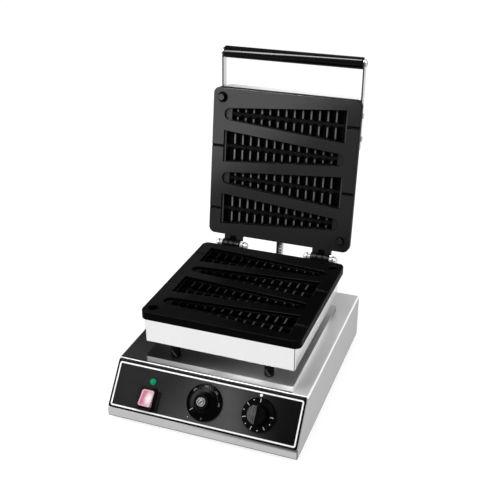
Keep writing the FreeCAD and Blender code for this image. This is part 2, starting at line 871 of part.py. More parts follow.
# Plate casting: a rim on the casing, a thick block behind the moulds and four tapped pillars
def plate_casting():
    sides = (head_x - plate_half, head_x + plate_half)
    rim = rounded_block(*sides, plate_front, plate_back, casing_top, plate_top, plate_corner)
    top_edges = [edge for edge in rim.Edges if edge.BoundBox.ZMin > plate_top - 0.001]
    rim = rim.makeFillet(1.2, top_edges)
    inner = casing_half - block_side_room
    thick = block(
        head_x - inner,
        head_x + inner,
        casing_front + block_end_room,
        casing_back - block_end_room,
        block_bottom,
        casing_top + 1,
    )
    pillars = [upright(pillar_radius, x, y, casing_floor, block_bottom + 1) for x, y in leg_places]
    casting = joined(rim, thick, *pillars)
    cuts = [heater_tube(heater_radius + 2 * snug)]
    thread_end = casing_floor + thread_grip + 1
    cuts += [upright(bolt_radius + snug, x, y, casing_floor - 1, thread_end) for x, y in leg_places]
    cuts += [
        upright(bolt_radius + snug, x, y, block_bottom - 1, block_bottom + clamp_grip + gap)
        for x, y in clamp_screw_places
    ]
    middle = (plate_front + plate_back) / 2 + mould_shift
    for n in range(mould_count):
        way = 1 if n % 2 == 0 else -1
        cuts += mould_cuts(middle + (n - (mould_count - 1) / 2) * mould_pitch, way)
    return casting.cut(cuts)


casting = plate_casting()
boss_places = [
    (head_x - plate_half + boss_side, plate_front + boss_front_end),
    (head_x + plate_half - boss_side, plate_back - boss_back_end),
]

# Hinges: the lower plate has the middle knuckle with a stop heel, the lid's plate has the fork round it
middle_half = knuckle_middle / 2
fork_inner = middle_half + gap
fork_half = fork_inner + knuckle_outer
lid_rim_top = lid_face + plate_rim


def along_x(radius, x0, x1):
    return rod(radius, (x0, hinge_y, hinge_z), (x1, hinge_y, hinge_z))


def lower_knuckle(x):
    sides = (x - middle_half, x + middle_half)
    round_part = along_x(knuckle_radius, *sides)
    arm = block(*sides, plate_back - 2, hinge_y, hinge_z - knuckle_radius, plate_top - 0.6)
    heel = block(*sides, hinge_y - bridge_room + gap, hinge_y - 2, lid_face, lid_face + heel_depth)
    bore = along_x(pin_radius + snug, x - fork_half, x + fork_half)
    return joined(round_part, arm, opened(heel)).cut(bore)


def lid_fork(x):
    solids = []
    for side in (-1, 1):
        sides = sorted((x + side * fork_inner, x + side * fork_half))
        solids.append(along_x(knuckle_radius, *sides))
        solids.append(block(*sides, plate_back - 2, hinge_y, lid_face, lid_face + knuckle_radius))
    solids.append(
        block(x - fork_half, x + fork_half, plate_back - 2, hinge_y - bridge_room, lid_face, lid_rim_top - 1)
    )
    return joined(*solids).cut(along_x(pin_radius + running, x - 2 * fork_half, x + 2 * fork_half))


locating_holes = [
    upright(boss_radius + 2 * gap, x, y, plate_top - boss_height - 1, plate_top + 1) for x, y in boss_places
]
locating_bosses = [
    upright(boss_radius, x, y, lid_face - boss_height, lid_face + 1) for x, y in boss_places
]
rounded_bosses = []
for boss in locating_bosses:
    tip = [edge for edge in boss.Edges if edge.BoundBox.ZMax < lid_face - boss_height + 0.001]
    rounded_bosses.append(boss.makeChamfer(boss_chamfer, tip))
pieces["lower_plate"] = joined(casting, *[lower_knuckle(x) for x in hinge_places]).cut(locating_holes)
upper_plate = joined(lid_twin(casting), *[lid_fork(x) for x in hinge_places], *rounded_bosses)
pieces["upper_plate"] = opened(upper_plate)


def dome_nut(x, way):
    """A domed nut on a hinge pin; its flat end is at x and its dome points along way."""

    def at(distance):
        return (x + way * distance, hinge_y, hinge_z)

    body = hex_prism(dome_across, at(0), at(dome_hex))
    neck = rod(dome_radius, at(dome_hex - 0.5), at(dome_hex + 1))
    ball = Part.makeSphere(dome_radius, V(*at(dome_hex + 1)))
    return joined(body, neck, ball).cut(rod(pin_radius + snug, at(-dome_radius), at(pin_end + gap)))


pin_half = fork_half + gap + pin_end
pieces["hinge_pins"] = group(along_x(pin_radius, x - pin_half, x + pin_half) for x in hinge_places)
pieces["hinge_nuts"] = group(
    dome_nut(x + way * (fork_half + gap), way) for x in hinge_places for way in (-1, 1)
)

# Lower heating set and the lid's mirrored one
pieces["lower_heater"] = lower_heater
pieces["lower_heater_clamp"] = lower_clamp
pieces["lower_clamp_screws"] = lower_clamp_screws
pieces["lower_insulation"] = lower_insulation
pieces["upper_heater"] = opened(lid_twin(lower_heater))
pieces["upper_heater_clamp"] = opened(lid_twin(lower_clamp))
pieces["upper_clamp_screws"] = opened(lid_twin(lower_clamp_screws))
pieces["upper_insulation"] = opened(lid_twin(lower_insulation))

# Lid casing with its roof screws, the arms' holes and the conduit's hole in the wall by the hinges
roof = 2 * plate_top + parting_gap - casing_bottom
conduit_z = hinge_z + conduit_behind
arm_inner = casing_half
arm_outer = casing_half + arm_thickness
arm_turn = math.radians(arm_tilt)
arm_screw_points = [
    (handle_y + place * math.cos(arm_turn), handle_z + place * math.sin(arm_turn))
    for place in arm_screw_places
]
conduit_hole = rod(
    fitting_tail_radius + snug,
    (head_x, casing_back - 2 * casing_sheet, conduit_z),
    (head_x, casing_back + casing_sheet, conduit_z),
)
arm_hole_ends = (head_x - arm_outer - 1, head_x + arm_outer + 1)
arm_holes = [
    rod(screw_radius + bolt_room, *[(x, y, z) for x in arm_hole_ends]) for y, z in arm_screw_points
]
upper_casing = lid_twin(casing).cut([conduit_hole] + arm_holes)
pieces["upper_casing"] = opened(upper_casing)
pieces["lid_screws"] = opened(
    group(
        pan_screw(
            (x, y, roof), (0, 0, -1), thread_grip, bolt_radius, bolt_head_radius, bolt_head_height
        )
        for x, y in leg_places
    )
)


# Handle: two flat arms on the lid's sides, a rod screwed between them and a turned grip on the rod
def on_handle(radius, x0, x1):
    return rod(radius, (head_x + x0, handle_y, handle_z), (head_x + x1, handle_y, handle_z))


def handle_arm(side):
    near, far = sorted((side * arm_inner, side * arm_outer))
    half = arm_width / 2
    sides = (head_x + near, head_x + far)
    bar = block(*sides, handle_y, handle_y + arm_length, handle_z - half, handle_z + half)
    tail = on_handle(half, near, far)
    tail.translate(V(0, arm_length, 0))
    arm = joined(bar, on_handle(half, near, far), tail)
    arm.rotate(V(0, handle_y, handle_z), V(1, 0, 0), arm_tilt)
    return opened(arm.cut([on_handle(bolt_hole, near - 1, far + 1)] + arm_holes))


pieces["handle_arm_left"] = handle_arm(-1)
pieces["handle_arm_right"] = handle_arm(1)
grip_half = arm_inner - gap
grip = on_handle(grip_radius, -grip_half, grip_half)
grip = grip.makeFillet(1.5, [edge for edge in grip.Edges if edge.Closed])
pieces["handle_grip"] = opened(grip.cut(on_handle(grip_rod_radius + snug, -arm_inner, arm_inner)))
tapped = [
    on_handle(bolt_radius + snug, way * arm_inner, way * (arm_inner - thread_grip)) for way in (-1, 1)
]
pieces["handle_rod"] = opened(on_handle(grip_rod_radius, -arm_inner, arm_inner).cut(tapped))


def handle_screw(way):
    seat = head_x + way * arm_outer
    length = arm_thickness + thread_grip - 1
    screw = pan_screw(
        (seat, handle_y, handle_z), (-way, 0, 0), length, bolt_radius, button_radius, button_height
    )
    socket_ends = (seat + way * button_height / 2, seat + way * (button_height + 1))
    return screw.cut(hex_prism(button_height, *[(x, handle_y, handle_z) for x in socket_ends]))


pieces["handle_screws"] = opened(group(handle_screw(way) for way in (-1, 1)))
arm_screw_length = arm_thickness + casing_sheet + screw_nut_height + 0.6
pieces["arm_screws"] = opened(
    group(
        small_screw((head_x + way * arm_outer, y, z), (-way, 0, 0), arm_screw_length)
        for way in (-1, 1)
        for y, z in arm_screw_points
    )
)
nut_faces = (casing_half - casing_sheet, casing_half - casing_sheet - screw_nut_height)
pieces["arm_nuts"] = opened(
    group(
        plain_nut(*[(head_x + way * face, y, z) for face in nut_faces])
        for way in (-1, 1)
        for y, z in arm_screw_points
    )
)


# Conduit: a ribbed metal hose from the deck into the lid's wall, bent by the lid's lean
lower_run = hose_bend_z - deck - fitting_flange
upper_run = (lid_entry.z - hose_bend_z) / math.cos(hose_lean) - fitting_flange
bend_tangent = min(lower_run, upper_run) - hose_straight
bend_radius = bend_tangent / math.tan(hose_lean / 2)
bend_length = bend_radius * hose_lean
first_run = lower_run - bend_tangent
hose_length = first_run + bend_length + upper_run - bend_tangent
hose_foot = V(head_x, conduit_y, deck + fitting_flange)


def hose_ring(distance, radius):
    """A circle round the hose at a distance along it, with its seam always on the +X side."""
    turned = min(max(distance - first_run, 0), bend_length) / bend_radius
    beyond = max(distance - first_run - bend_length, 0)
    rise = min(distance, first_run) + bend_radius * math.sin(turned) + beyond * math.cos(turned)
    lean = bend_radius * (1 - math.cos(turned)) + beyond * math.sin(turned)
    ring = Part.Wire(Part.Circle(V(0, 0, 0), V(0, 0, 1), radius).toShape())
    ring.rotate(V(0, 0, 0), V(1, 0, 0), -math.degrees(turned))
    ring.translate(hose_foot + V(0, lean, rise))
    return ring


hose_ribs = int(hose_length / hose_rib_pitch)
rib_length = hose_length / hose_ribs
rings = []
for n in range(hose_ribs):
    for share, radius in ((0, hose_valley), (0.25, hose_radius), (0.5, hose_radius), (0.75, hose_valley)):
        rings.append(hose_ring((n + share) * rib_length, radius))
rings.append(hose_ring(hose_length, hose_valley))
bore_rings = [hose_ring(hose_length * n / 12, hose_bore) for n in range(13)]
hose = Part.makeLoft(rings, True, True).cut(Part.makeLoft(bore_rings, True, True))
pieces["conduit"] = hose


# Conduit fittings: a flanged socket at each end, with a threaded tail and a locknut inside
def fitting(flange_radius, tail_end):
    """Drawn about the origin with its seat at z = 0 and its socket upwards."""
    socket_bore = hose_radius + gap
    outline = [
        (hose_bore, -tail_end),
        (fitting_tail_radius, -tail_end),
        (fitting_tail_radius, 0),
        (flange_radius, 0),
        (flange_radius, fitting_flange - gap),
        (socket_bore + fitting_wall, fitting_flange - gap),
        (socket_bore + fitting_wall, fitting_flange + fitting_socket),
        (socket_bore, fitting_flange + fitting_socket),
        (socket_bore, fitting_flange - gap),
        (hose_bore, fitting_flange - gap),
    ]
    return revolve(outline)


def locknut(wall):
    start = (0, 0, -wall - locknut_height)
    end = (0, 0, -wall)
    return hex_prism(locknut_across, start, end).cut(rod(fitting_tail_radius + snug, start, end))


def on_deck(shape):
    shape.translate(V(head_x, conduit_y, deck))
    return shape


def on_lid_wall(shape):
    shape.rotate(V(0, 0, 0), V(1, 0, 0), -90)
    shape.translate(V(head_x, casing_back, conduit_z))
    return opened(shape)


socket_radius = hose_radius + gap + fitting_wall
pieces["conduit_deck_fitting"] = on_deck(fitting(deck_flange_radius, sheet + fitting_tail))
pieces["conduit_deck_locknut"] = on_deck(locknut(sheet))
pieces["conduit_lid_fitting"] = on_lid_wall(fitting(socket_radius, casing_sheet + fitting_tail))
pieces["conduit_lid_locknut"] = on_lid_wall(locknut(casing_sheet))

# Thermostat capillary: a thin tube from the thermostat to the sensing bulb under the lower casting
bulb_z = block_bottom - bulb_radius - 2 * snug
bulb_rear = capillary_drop_y - capillary_bend - 1
exit_up = dial_up + control_body / 2
exit_in = sheet + control_depth / 2
exit_y = housing_front + slope_y * exit_up + slope_z * exit_in
exit_z = strip_top + slope_z * exit_up - slope_y * exit_in
tray_run = deck - sheet - capillary_bend
lead = (tray_run - exit_z) / slope_z
capillary_path = [
    (head_x, exit_y, exit_z),
    (head_x, exit_y + lead * slope_y, tray_run),
    (head_x, capillary_drop_y, tray_run),
    (head_x, capillary_drop_y, bulb_z),
    (head_x, bulb_rear - 1, bulb_z),
]
bulb = rod(bulb_radius, (head_x, bulb_rear, bulb_z), (head_x, bulb_rear - bulb_length, bulb_z))
capillary = tube(rounded_wire(capillary_path, capillary_bend), capillary_radius)
pieces["thermostat_capillary"] = joined(capillary, bulb)


# Supply side: a gland for the mains lead in the rear wall, a terminal block and the loom to the switch
def rear_rod(radius, y0, y1):
    return rod(radius, (gland_x, y0, gland_z), (gland_x, y1, gland_z))


gland_flange = hex_prism(
    2 * gland_radius + 3, (gland_x, housing_back, gland_z), (gland_x, housing_back + 5, gland_z)
)
gland_nose = Part.makeCone(
    gland_radius, gland_radius - 2, gland_length - 5, V(gland_x, housing_back + 5, gland_z), V(0, 1, 0)
)
gland_tail = rear_rod(gland_radius - 1, housing_back - sheet - 5, housing_back)
gland_through = rear_rod(gland_bore, housing_back - 20, housing_back + gland_length + 1)
pieces["cable_gland"] = joined(gland_flange, gland_nose, gland_tail).cut(gland_through)
nut_start = (gland_x, housing_back - sheet - 4, gland_z)
nut_end = (gland_x, housing_back - sheet, gland_z)
gland_nut = hex_prism(2 * gland_radius + 3, nut_start, nut_end)
pieces["gland_locknut"] = gland_nut.cut(rod(gland_radius - 1 + snug, nut_start, nut_end))

terminal_front = terminal_back - terminal_width
terminal_top = housing_bottom + terminal_height
terminal = block(
    rocker_x - terminal_length / 2,
    rocker_x + terminal_length / 2,
    terminal_front,
    terminal_back,
    housing_bottom,
    terminal_top,
)
terminal_holes = [upright(screw_radius + snug, x, y, 0, deck) for x, y in terminal_screw_places]
way_count = 4
way_step = (terminal_length - 8 * screw_radius) / way_count
ways = [
    upright(
        screw_head_radius * 0.7,
        rocker_x + (n - (way_count - 1) / 2) * way_step,
        (terminal_front + terminal_back) / 2,
        terminal_top - 5,
        terminal_top + 1,
    )
    for n in range(way_count)
]
pieces["terminal_block"] = terminal.cut(terminal_holes + ways)
terminal_screw_length = terminal_height + cover_sheet
pieces["terminal_screws"] = group(
    small_screw((x, y, terminal_top), (0, 0, -1), terminal_screw_length) for x, y in terminal_screw_places
)
loom_z = housing_bottom + loom_height
switch_back = rocker_depth + gap / 3
switch_y = housing_front + slope_y * rocker_up + slope_z * switch_back
switch_z = strip_top + slope_z * rocker_up - slope_y * switch_back
loom_lead = (switch_z - loom_z) / slope_y
loom_path = [
    (rocker_x, terminal_front, loom_z),
    (rocker_x, switch_y + loom_lead * slope_z, loom_z),
    (rocker_x, switch_y, switch_z),
]
pieces["wiring_loom"] = tube(rounded_wire(loom_path, loom_bend), loom_radius)

os.makedirs("parts", exist_ok=True)
for name, shape in pieces.items():
    shape.exportStep("parts/" + name + ".step")
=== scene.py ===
import math

import bmesh
import bpy
from mathutils import Matrix, Vector


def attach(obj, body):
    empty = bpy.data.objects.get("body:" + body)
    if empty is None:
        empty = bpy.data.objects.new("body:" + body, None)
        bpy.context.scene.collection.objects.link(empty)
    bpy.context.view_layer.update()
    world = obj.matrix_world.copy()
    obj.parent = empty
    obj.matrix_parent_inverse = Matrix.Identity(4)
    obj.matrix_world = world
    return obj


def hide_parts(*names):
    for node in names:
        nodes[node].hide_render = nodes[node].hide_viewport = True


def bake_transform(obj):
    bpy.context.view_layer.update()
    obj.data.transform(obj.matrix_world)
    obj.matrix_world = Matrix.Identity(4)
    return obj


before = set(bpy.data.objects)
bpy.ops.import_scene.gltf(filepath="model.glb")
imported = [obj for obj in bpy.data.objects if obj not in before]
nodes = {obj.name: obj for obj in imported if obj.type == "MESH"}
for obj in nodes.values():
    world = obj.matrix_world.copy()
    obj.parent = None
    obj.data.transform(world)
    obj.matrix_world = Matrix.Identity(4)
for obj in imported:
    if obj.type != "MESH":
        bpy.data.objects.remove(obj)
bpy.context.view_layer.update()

# The picture: a camera in front and to the right, and a pale floor in a white room that keeps the baker's
# soft shadow. A strip lamp leans over from the left and a weak lamp stands on the right. Out of the picture,
# a bright card hangs above the left and a dark cloth behind it, for the gloss and the steel to mirror.
scene = bpy.context.scene
scene.view_settings.view_transform = "Standard"
camera_pitch, camera_yaw = -25.73, 20.38
camera = bpy.data.objects.new("camera", bpy.data.cameras.new("camera"))
camera.data.lens = 64.144
camera.data.sensor_width = 36
camera.location = (0.33827, -0.93745, 0.67736)
camera.rotation_euler = (math.radians(90 + camera_pitch), 0, math.radians(camera_yaw))
scene.collection.objects.link(camera)
scene.camera = camera


class Wire:
    """One output of a shader node. Sums and products of wires add Math nodes to the same tree."""

    def __init__(self, tree, socket=None):
        self.tree = tree
        self.socket = socket

    def plug(self, socket, value):
        if isinstance(value, Wire):
            self.tree.links.new(value.socket, socket)
        elif socket.type == "RGBA":
            socket.default_value = (*value, 1)
        else:
            socket.default_value = value

    def node(self, kind, settings={}, inputs={}, output=0):
        made = self.tree.nodes.new("ShaderNode" + kind)
        for name, value in settings.items():
            setattr(made, name, value)
        for name, value in inputs.items():
            self.plug(made.inputs[name], value)
        return Wire(self.tree, made.outputs[output])

    def math(self, operation, *values):
        return self.node("Math", {"operation": operation}, dict(enumerate(values)))

    def mix(self, share, first, second):
        return self.node("Mix", {"data_type": "RGBA"}, {0: share, 6: first, 7: second}, 2)

    def rise(self, low, high):
        """0 below low, 1 above high and smooth between them."""
        return self.node("MapRange", {"interpolation_type": "SMOOTHSTEP"}, {0: self, 1: low, 2: high})

    def size(self):
        return self.math("ABSOLUTE", self)

    def either(self, other):
        """The larger of two masks."""
        return self.math("MAXIMUM", self, other)

    def reach(self, other):
        """The length of a way whose two legs are these wires."""
        return self.math("SQRT", self * self + other * other)

    def along(self, direction):
        """How far this place lies along a direction."""
        return self.node("VectorMath", {"operation": "DOT_PRODUCT"}, {0: self, 1: direction}, "Value")

    def axes(self):
        return [self.along(axis) for axis in ((1, 0, 0), (0, 1, 0), (0, 0, 1))]

    def __add__(self, other):
        return self.math("ADD", self, other)

    def __radd__(self, other):
        return self.math("ADD", other, self)

    def __sub__(self, other):
        return self.math("SUBTRACT", self, other)

    def __rsub__(self, other):
        return self.math("SUBTRACT", other, self)

    def __mul__(self, other):
        return self.math("MULTIPLY", self, other)

    def __rmul__(self, other):
        return self.math("MULTIPLY", other, self)

    def __gt__(self, other):
        return self.math("GREATER_THAN", self, other)

    def __lt__(self, other):
        return self.math("LESS_THAN", self, other)


def grey(level, blue=0):
    """A grey, with a little more blue for cold steel."""
    return (level, level, level + blue)


def seen_directly(wire):
    """1 for rays that show the room itself: straight from the camera, or by way of metal and glass."""
    kinds = ("Is Camera Ray", "Is Glossy Ray", "Is Transmission Ray")
    flags = [wire.node("LightPath", output=kind) for kind in kinds]
    return wire.math("MINIMUM", flags[0] + flags[1] + flags[2], 1)


room_level = 0.5
world = bpy.data.worlds.new("white_room")
world.use_nodes = True
scene.world = world
wire = Wire(world.node_tree)
background = world.node_tree.nodes["Background"]
wire.plug(background.inputs["Color"], grey(1))
wire.plug(background.inputs["Strength"], room_level + (1 - room_level) * seen_directly(wire))


def stage_sheet(name, size, place, facing, surface):
    """A flat sheet of the studio, with the shader that surface makes for it."""
    turn = Vector(facing).to_track_quat("Z", "Y").to_matrix().to_4x4()
    sheet_place = Matrix.Translation(place) @ turn @ Matrix.Diagonal((*size, 1, 1))
    sheet = bmesh.new()
    bmesh.ops.create_grid(sheet, x_segments=1, y_segments=1, size=0.5, matrix=sheet_place)
    made = bpy.data.objects.new(name, bpy.data.meshes.new(name))
    sheet.to_mesh(made.data)
    sheet.free()
    scene.collection.objects.link(made)
    material = bpy.data.materials.new(name)
    material.use_nodes = True
    tree = material.node_tree
    tree.nodes.remove(tree.nodes["Principled BSDF"])
    wire = Wire(tree)
    wire.plug(tree.nodes["Material Output"].inputs["Surface"], surface(wire))
    made.data.materials.append(material)


def pale_paper(wire):
    lit = wire.node("BsdfDiffuse", {}, {"Color": grey(0.42)})
    glow = wire.node("Emission", {}, {"Color": grey(1), "Strength": 0.82 * seen_directly(wire)})
    return wire.node("AddShader", {}, {0: lit, 1: glow})


def dark_cloth(wire):
    cloth = wire.node("BsdfDiffuse", {}, {"Color": grey(0.03)})
    clear = wire.node("BsdfTransparent")
    return wire.node("MixShader", {}, {0: wire.node("LightPath", output="Is Camera Ray"), 1: cloth, 2: clear})


def bright_card(wire):
    mirrored = wire.node("LightPath", output="Is Glossy Ray")
    shine = wire.node("Emission", {}, {"Color": grey(1), "Strength": 70 * mirrored})
    clear = wire.node("BsdfTransparent")
    return wire.node("MixShader", {}, {0: mirrored, 1: clear, 2: shine})


def lamp(name, place, aim, size, power):
    light = bpy.data.lights.new(name, "AREA")
    light.shape = "RECTANGLE"
    light.size, light.size_y = size
    light.energy = power
    made = bpy.data.objects.new(name, light)
    made.location = place
    made.rotation_euler = (Vector(aim) - Vector(place)).to_track_quat("-Z", "Y").to_euler()
    scene.collection.objects.link(made)


stage_sheet("floor", (12, 12), (0, 0, 0), (0, 0, 1), pale_paper)
stage_sheet("cloth", (0.80, 0.62), (-0.59, 0.58, 0.716), (0.39, -0.77, -0.5), dark_cloth)
stage_sheet("card", (0.14, 1.2), (-0.266, -0.44, 1.222), (0.33, 0.67, -0.74), bright_card)
lamp("strip_left", (-0.33, -0.57, 0.99), (0, 0.1, 0.25), (0.04, 1.4), 9)
lamp("window_right", (1.5, -0.6, 1.1), (0, 0, 0.15), (0.9, 1.2), 3)


# Housing and its cover: folded stainless sheet, brushed along its width, with a rounded bend above and
# below the sloping front and a flange turned in under the open bottom, where the cover is screwed on.
# The bends round the deck carry a painted highlight, a thin near-white band along the front bend and the two
# side bends.
def finish(name):
    """A new material with its wire tools and its main shader."""
    material = bpy.data.materials.new(name)
    material.use_nodes = True
    return material, Wire(material.node_tree), material.node_tree.nodes["Principled BSDF"]


def on_object(wire, stretch=(1, 1, 1)):
    """The place on the object in metres, stretched for grain that runs one way."""
    place = wire.node("TexCoord", output="Object")
    return wire.node("Mapping", {}, {"Vector": place, "Scale": stretch})


def grain(wire, where, scale, detail=2):
    return wire.node("TexNoise", {}, {"Vector": where, "Scale": scale, "Detail": detail})


def brushed(wire):
    """The place on a sheet, the fine lines that brushing leaves along X, and a slow cloud."""
    place = wire.node("TexCoord", output="Object")
    lines = grain(wire, on_object(wire, (5, 1500, 1500)), 1, 3)
    return place, lines, grain(wire, on_object(wire), 11, 3)


def settle(wire, shader, **sockets):
    """Sets the main shader's sockets; base_color names the socket Base Color, and so on."""
    for name, value in sockets.items():
        words = [word.upper() if word == "ior" else word.title() for word in name.split("_")]
        wire.plug(shader.inputs[" ".join(words)], value)


def bump(wire, shader, height, strength, distance):
    bent = wire.node("Bump", {}, {"Height": height, "Strength": strength, "Distance": distance})
    wire.plug(shader.inputs["Normal"], bent)


def dress(material, *names):
    for name in names:
        nodes[name].data.materials.clear()
        nodes[name].data.materials.append(material)


lean, rise = 0.0395, 0.0505
slant = math.hypot(lean, rise)
slope_foot = Vector((0, -0.1705, 0.0200))
up_slope = Vector((0, lean / slant, rise / slant))
off_slope = Vector((0, -rise / slant, lean / slant))
deck_level, strip_face = 0.0698, -0.1690
plinth_front, plinth_right = -0.1272, 0.1045
housing_steel, wire, shader = finish("housing_steel")
place, lines, cloud = brushed(wire)
x, back, height = place.axes()
across = x + 0.02 * (cloud - 0.5)
on_deck, on_strip = height > deck_level, back < strip_face
shell = [vert.co for vert in nodes["housing_shell"].data.vertices]
front_way = (2 * Vector((0, 0, 1)) + off_slope).normalized()
front_bend = max(point.dot(front_way) for point in shell)
side_bend = max(point.x + point.z for point in shell)
# Painted highlight: thin near-white bands along the front bend and the two side bends, partly non-metallic on
# the front one.
front_glint = place.along(front_way).rise(front_bend - 0.00010, front_bend - 0.00004)
side_glint = (x.size() + height).rise(side_bend - 0.0013, side_bend - 0.0007)
# Painted reflection: the deck is painted dark, darker to the left, and bright along its right margin, and the
# narrow strip in front of the plinth is painted dark.
deck_left = wire.mix(back.rise(-0.13, -0.06), grey(0.11, 0.005), grey(0.05))
deck = wire.mix(across.rise(-0.080, 0.060), deck_left, grey(0.24, 0.005))
bright_side = wire.mix(back.rise(-0.14, -0.04), grey(0.57), grey(0.72))
bright_side = wire.mix(back.rise(0.02, 0.10), bright_side, grey(0.58, 0.005))
right_margin = across.rise(0.030, 0.080) * on_deck
deck = wire.mix(right_margin, deck, bright_side)
before_plinth = (back < plinth_front) * (x < plinth_right)
deck = wire.mix(before_plinth, deck, grey(0.05))
# Painted shading: the side walls are given a darker tone than the front strip.
side_walls = wire.mix(cloud, grey(0.31, 0.005), grey(0.37, 0.005))
strip = wire.mix(cloud, grey(0.39, 0.005), grey(0.46, 0.005))
steel = wire.mix(on_deck, wire.mix(on_strip, side_walls, strip), deck)
# Painted shade: a dark band on the slope just under the front bend.
under_bend = (back > -0.1345) * (back < -0.1290) * (x.size() < 0.1235) * (height < 0.0702)
steel = wire.mix(under_bend, steel, grey(0.02))
# Painted shadow: the top of the front strip darkens under the panel's lower edge, more to the right.
under_lip = height.rise(0.0165, 0.0200) * across.rise(-0.06, 0.11) * on_strip
steel = wire.mix(under_lip, steel, grey(0.08))
# The strip's right corner and everything below 9 mm, the cover included, are painted a dark grey.
front_corner, bottom_edge = (x > 0.1240) * on_strip, height < 0.0090
steel = wire.mix(front_corner.either(bottom_edge), steel, grey(0.10))
settle(
    wire, shader, base_color=wire.mix(front_glint.either(side_glint), steel, grey(0.96)),
    metallic=1 - 0.8 * front_glint, roughness=0.30 + 0.1 * lines + 0.25 * right_margin,
)
bump(wire, shader, lines, 0.04, 0.0001)
dress(housing_steel, "housing_shell", "bottom_cover")


# Feet: moulded rubber pads under the corners of the cover, black with a slightly rough skin. Each is held by
# a screw sunk into its base, with a nut inside the cover.
def mottled(name, scale, shades, roughness, detail=3, stretch=(1, 1, 1), relief=None, **others):
    """A finish that only a fine grain varies. roughness is its least value and what the grain adds to it,
    and relief the strength and depth of its bumps, if it has any."""
    material, wire, shader = finish(name)
    speck = grain(wire, on_object(wire, stretch), scale, detail)
    rough = roughness[0] + roughness[1] * speck
    settle(wire, shader, base_color=wire.mix(speck, *shades), roughness=rough, **others)
    if relief:
        bump(wire, shader, speck, *relief)
    return material


rubber = mottled("foot_rubber", 700, (grey(0.012), grey(0.03)), (0.65, 0.15), relief=(0.2, 0.0002))
dress(rubber, "rubber_feet")

# Screws, nuts, bolts and shafts: turned or cold-formed steel with a thin zinc plating, slightly mottled.
# They hold the cover, the feet, the plinth, the heaters, the controls and the handle.
zinc = mottled("zinc_plate", 260, (grey(0.36, 0.01), grey(0.55)), (0.22, 0.2), metallic=1.0)
dress(zinc, "foot_screws", "foot_nuts", "cover_screws", "leg_bolts", "plinth_spacers", "hinge_pins")
dress(zinc, "control_nuts", "thermostat_shaft", "timer_shaft", "terminal_screws")
dress(zinc, "arm_screws", "arm_nuts", "handle_rod", "handle_screws")
dress(zinc, "lower_clamp_screws", "upper_clamp_screws", "lid_screws")

# Inner works: cream moulded bodies behind the panel and at the back of the housing. A copper capillary runs
# from the thermostat to the lower plate, and a loom in a black sleeve from the terminals to the switch.
cream_shades = ((0.62, 0.59, 0.50), (0.70, 0.67, 0.58))
cream = mottled("cream_moulding", 120, cream_shades, (0.45, 0.1), detail=2)
dress(cream, "thermostat_body", "timer_body", "pilot_lamp_body", "terminal_block")
copper_shades = ((0.70, 0.32, 0.18), (0.50, 0.22, 0.13))
copper = mottled("copper_tube", 90, copper_shades, (0.25, 0.25), metallic=1.0)
dress(copper, "thermostat_capillary")
dress(rubber, "wiring_loom")

# Control panel: a thin plate on the slope with a dark satin print, black outside a white line. The print
# carries a painted sheen in its middle, painted shade towards its right end and a near-black painted shadow
# right of the switch. A near-black bead round it stands in for the shade along its edges, and a fine trim
# strip runs along its top.
slope_axes = Matrix((Vector((1, 0, 0)), up_slope, off_slope)).transposed().to_4x4()
on_slope = Matrix.Translation(slope_foot) @ slope_axes


def slope_places(wire):
    """How far a point lies across the panel, up it and off it, in metres."""
    place = wire.node("TexCoord", output="Object")
    up = place.along(up_slope) - slope_foot.dot(up_slope)
    off = place.along(off_slope) - slope_foot.dot(off_slope)
    return place.along((1, 0, 0)), up, off


line_middle, line_size = 0.03135, (0.2430, 0.0559)
line_width, line_corner = 0.0019, 0.0028
panel_dark, wire, shader = finish("panel_print")
across, up = slope_places(wire)[:2]
speck = grain(wire, on_object(wire), 900, 2)
cloud = grain(wire, on_object(wire, (1, 2, 2)), 16, 3)
inner_half = [(side - line_width) / 2 for side in line_size]
inside = (across.size() < inner_half[0]) * ((up - line_middle).size() < inner_half[1])
# Painted sheen: the print is paler in its middle, and painted shade darkens its right end.
painted_sheen = (1 - ((across - 0.026).size() + (up - 0.014) * 0.6).rise(0.0, 0.105)) * (0.75 + 0.5 * cloud)
far_end = across.rise(0.035, 0.110)
middle = wire.mix(painted_sheen, (0.014, 0.0145, 0.014), grey(0.075, 0.001))
print_shade = wire.mix(far_end, middle, grey(0.002))
# Painted shadow: a near-black patch right of the switch.
painted_switch_shadow = (across > -0.0665) * (across < -0.0572) * (up > 0.0042) * (up < 0.0318)
print_shade = wire.mix(painted_switch_shadow, print_shade, grey(0.0003))
settle(
    wire, shader, base_color=wire.mix(inside, grey(0.002), print_shade),
    roughness=0.30 + 0.14 * speck, specular_ior_level=0.02,
)
dress(panel_dark, "control_panel")

white_ink = mottled("white_ink", 1400, (grey(0.80), grey(0.92)), (0.45, 0.1), detail=2)
panel_face = 0.0008
ink_lift = 0.00002
ink_depth = 0.00005


def piece(name, shape, material, body):
    """Makes an object of a shape, gives it its finish and lets it ride on a body, if it keeps to one."""
    made = bpy.data.objects.new(name, bpy.data.meshes.new(name))
    shape.to_mesh(made.data)
    shape.free()
    made.data.materials.append(material)
    scene.collection.objects.link(made)
    if body:
        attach(made, body)
    return made


def thicken(flat, depth=ink_depth):
    """Gives a flat shape the thickness of a thin layer."""
    bmesh.ops.recalc_face_normals(flat, faces=flat.faces)
    bmesh.ops.solidify(flat, geom=flat.faces[:], thickness=depth)
    bmesh.ops.recalc_face_normals(flat, faces=flat.faces)


def ink_dot(ink, place, radius):
    bmesh.ops.create_circle(ink, cap_ends=True, segments=24, radius=radius, matrix=place)


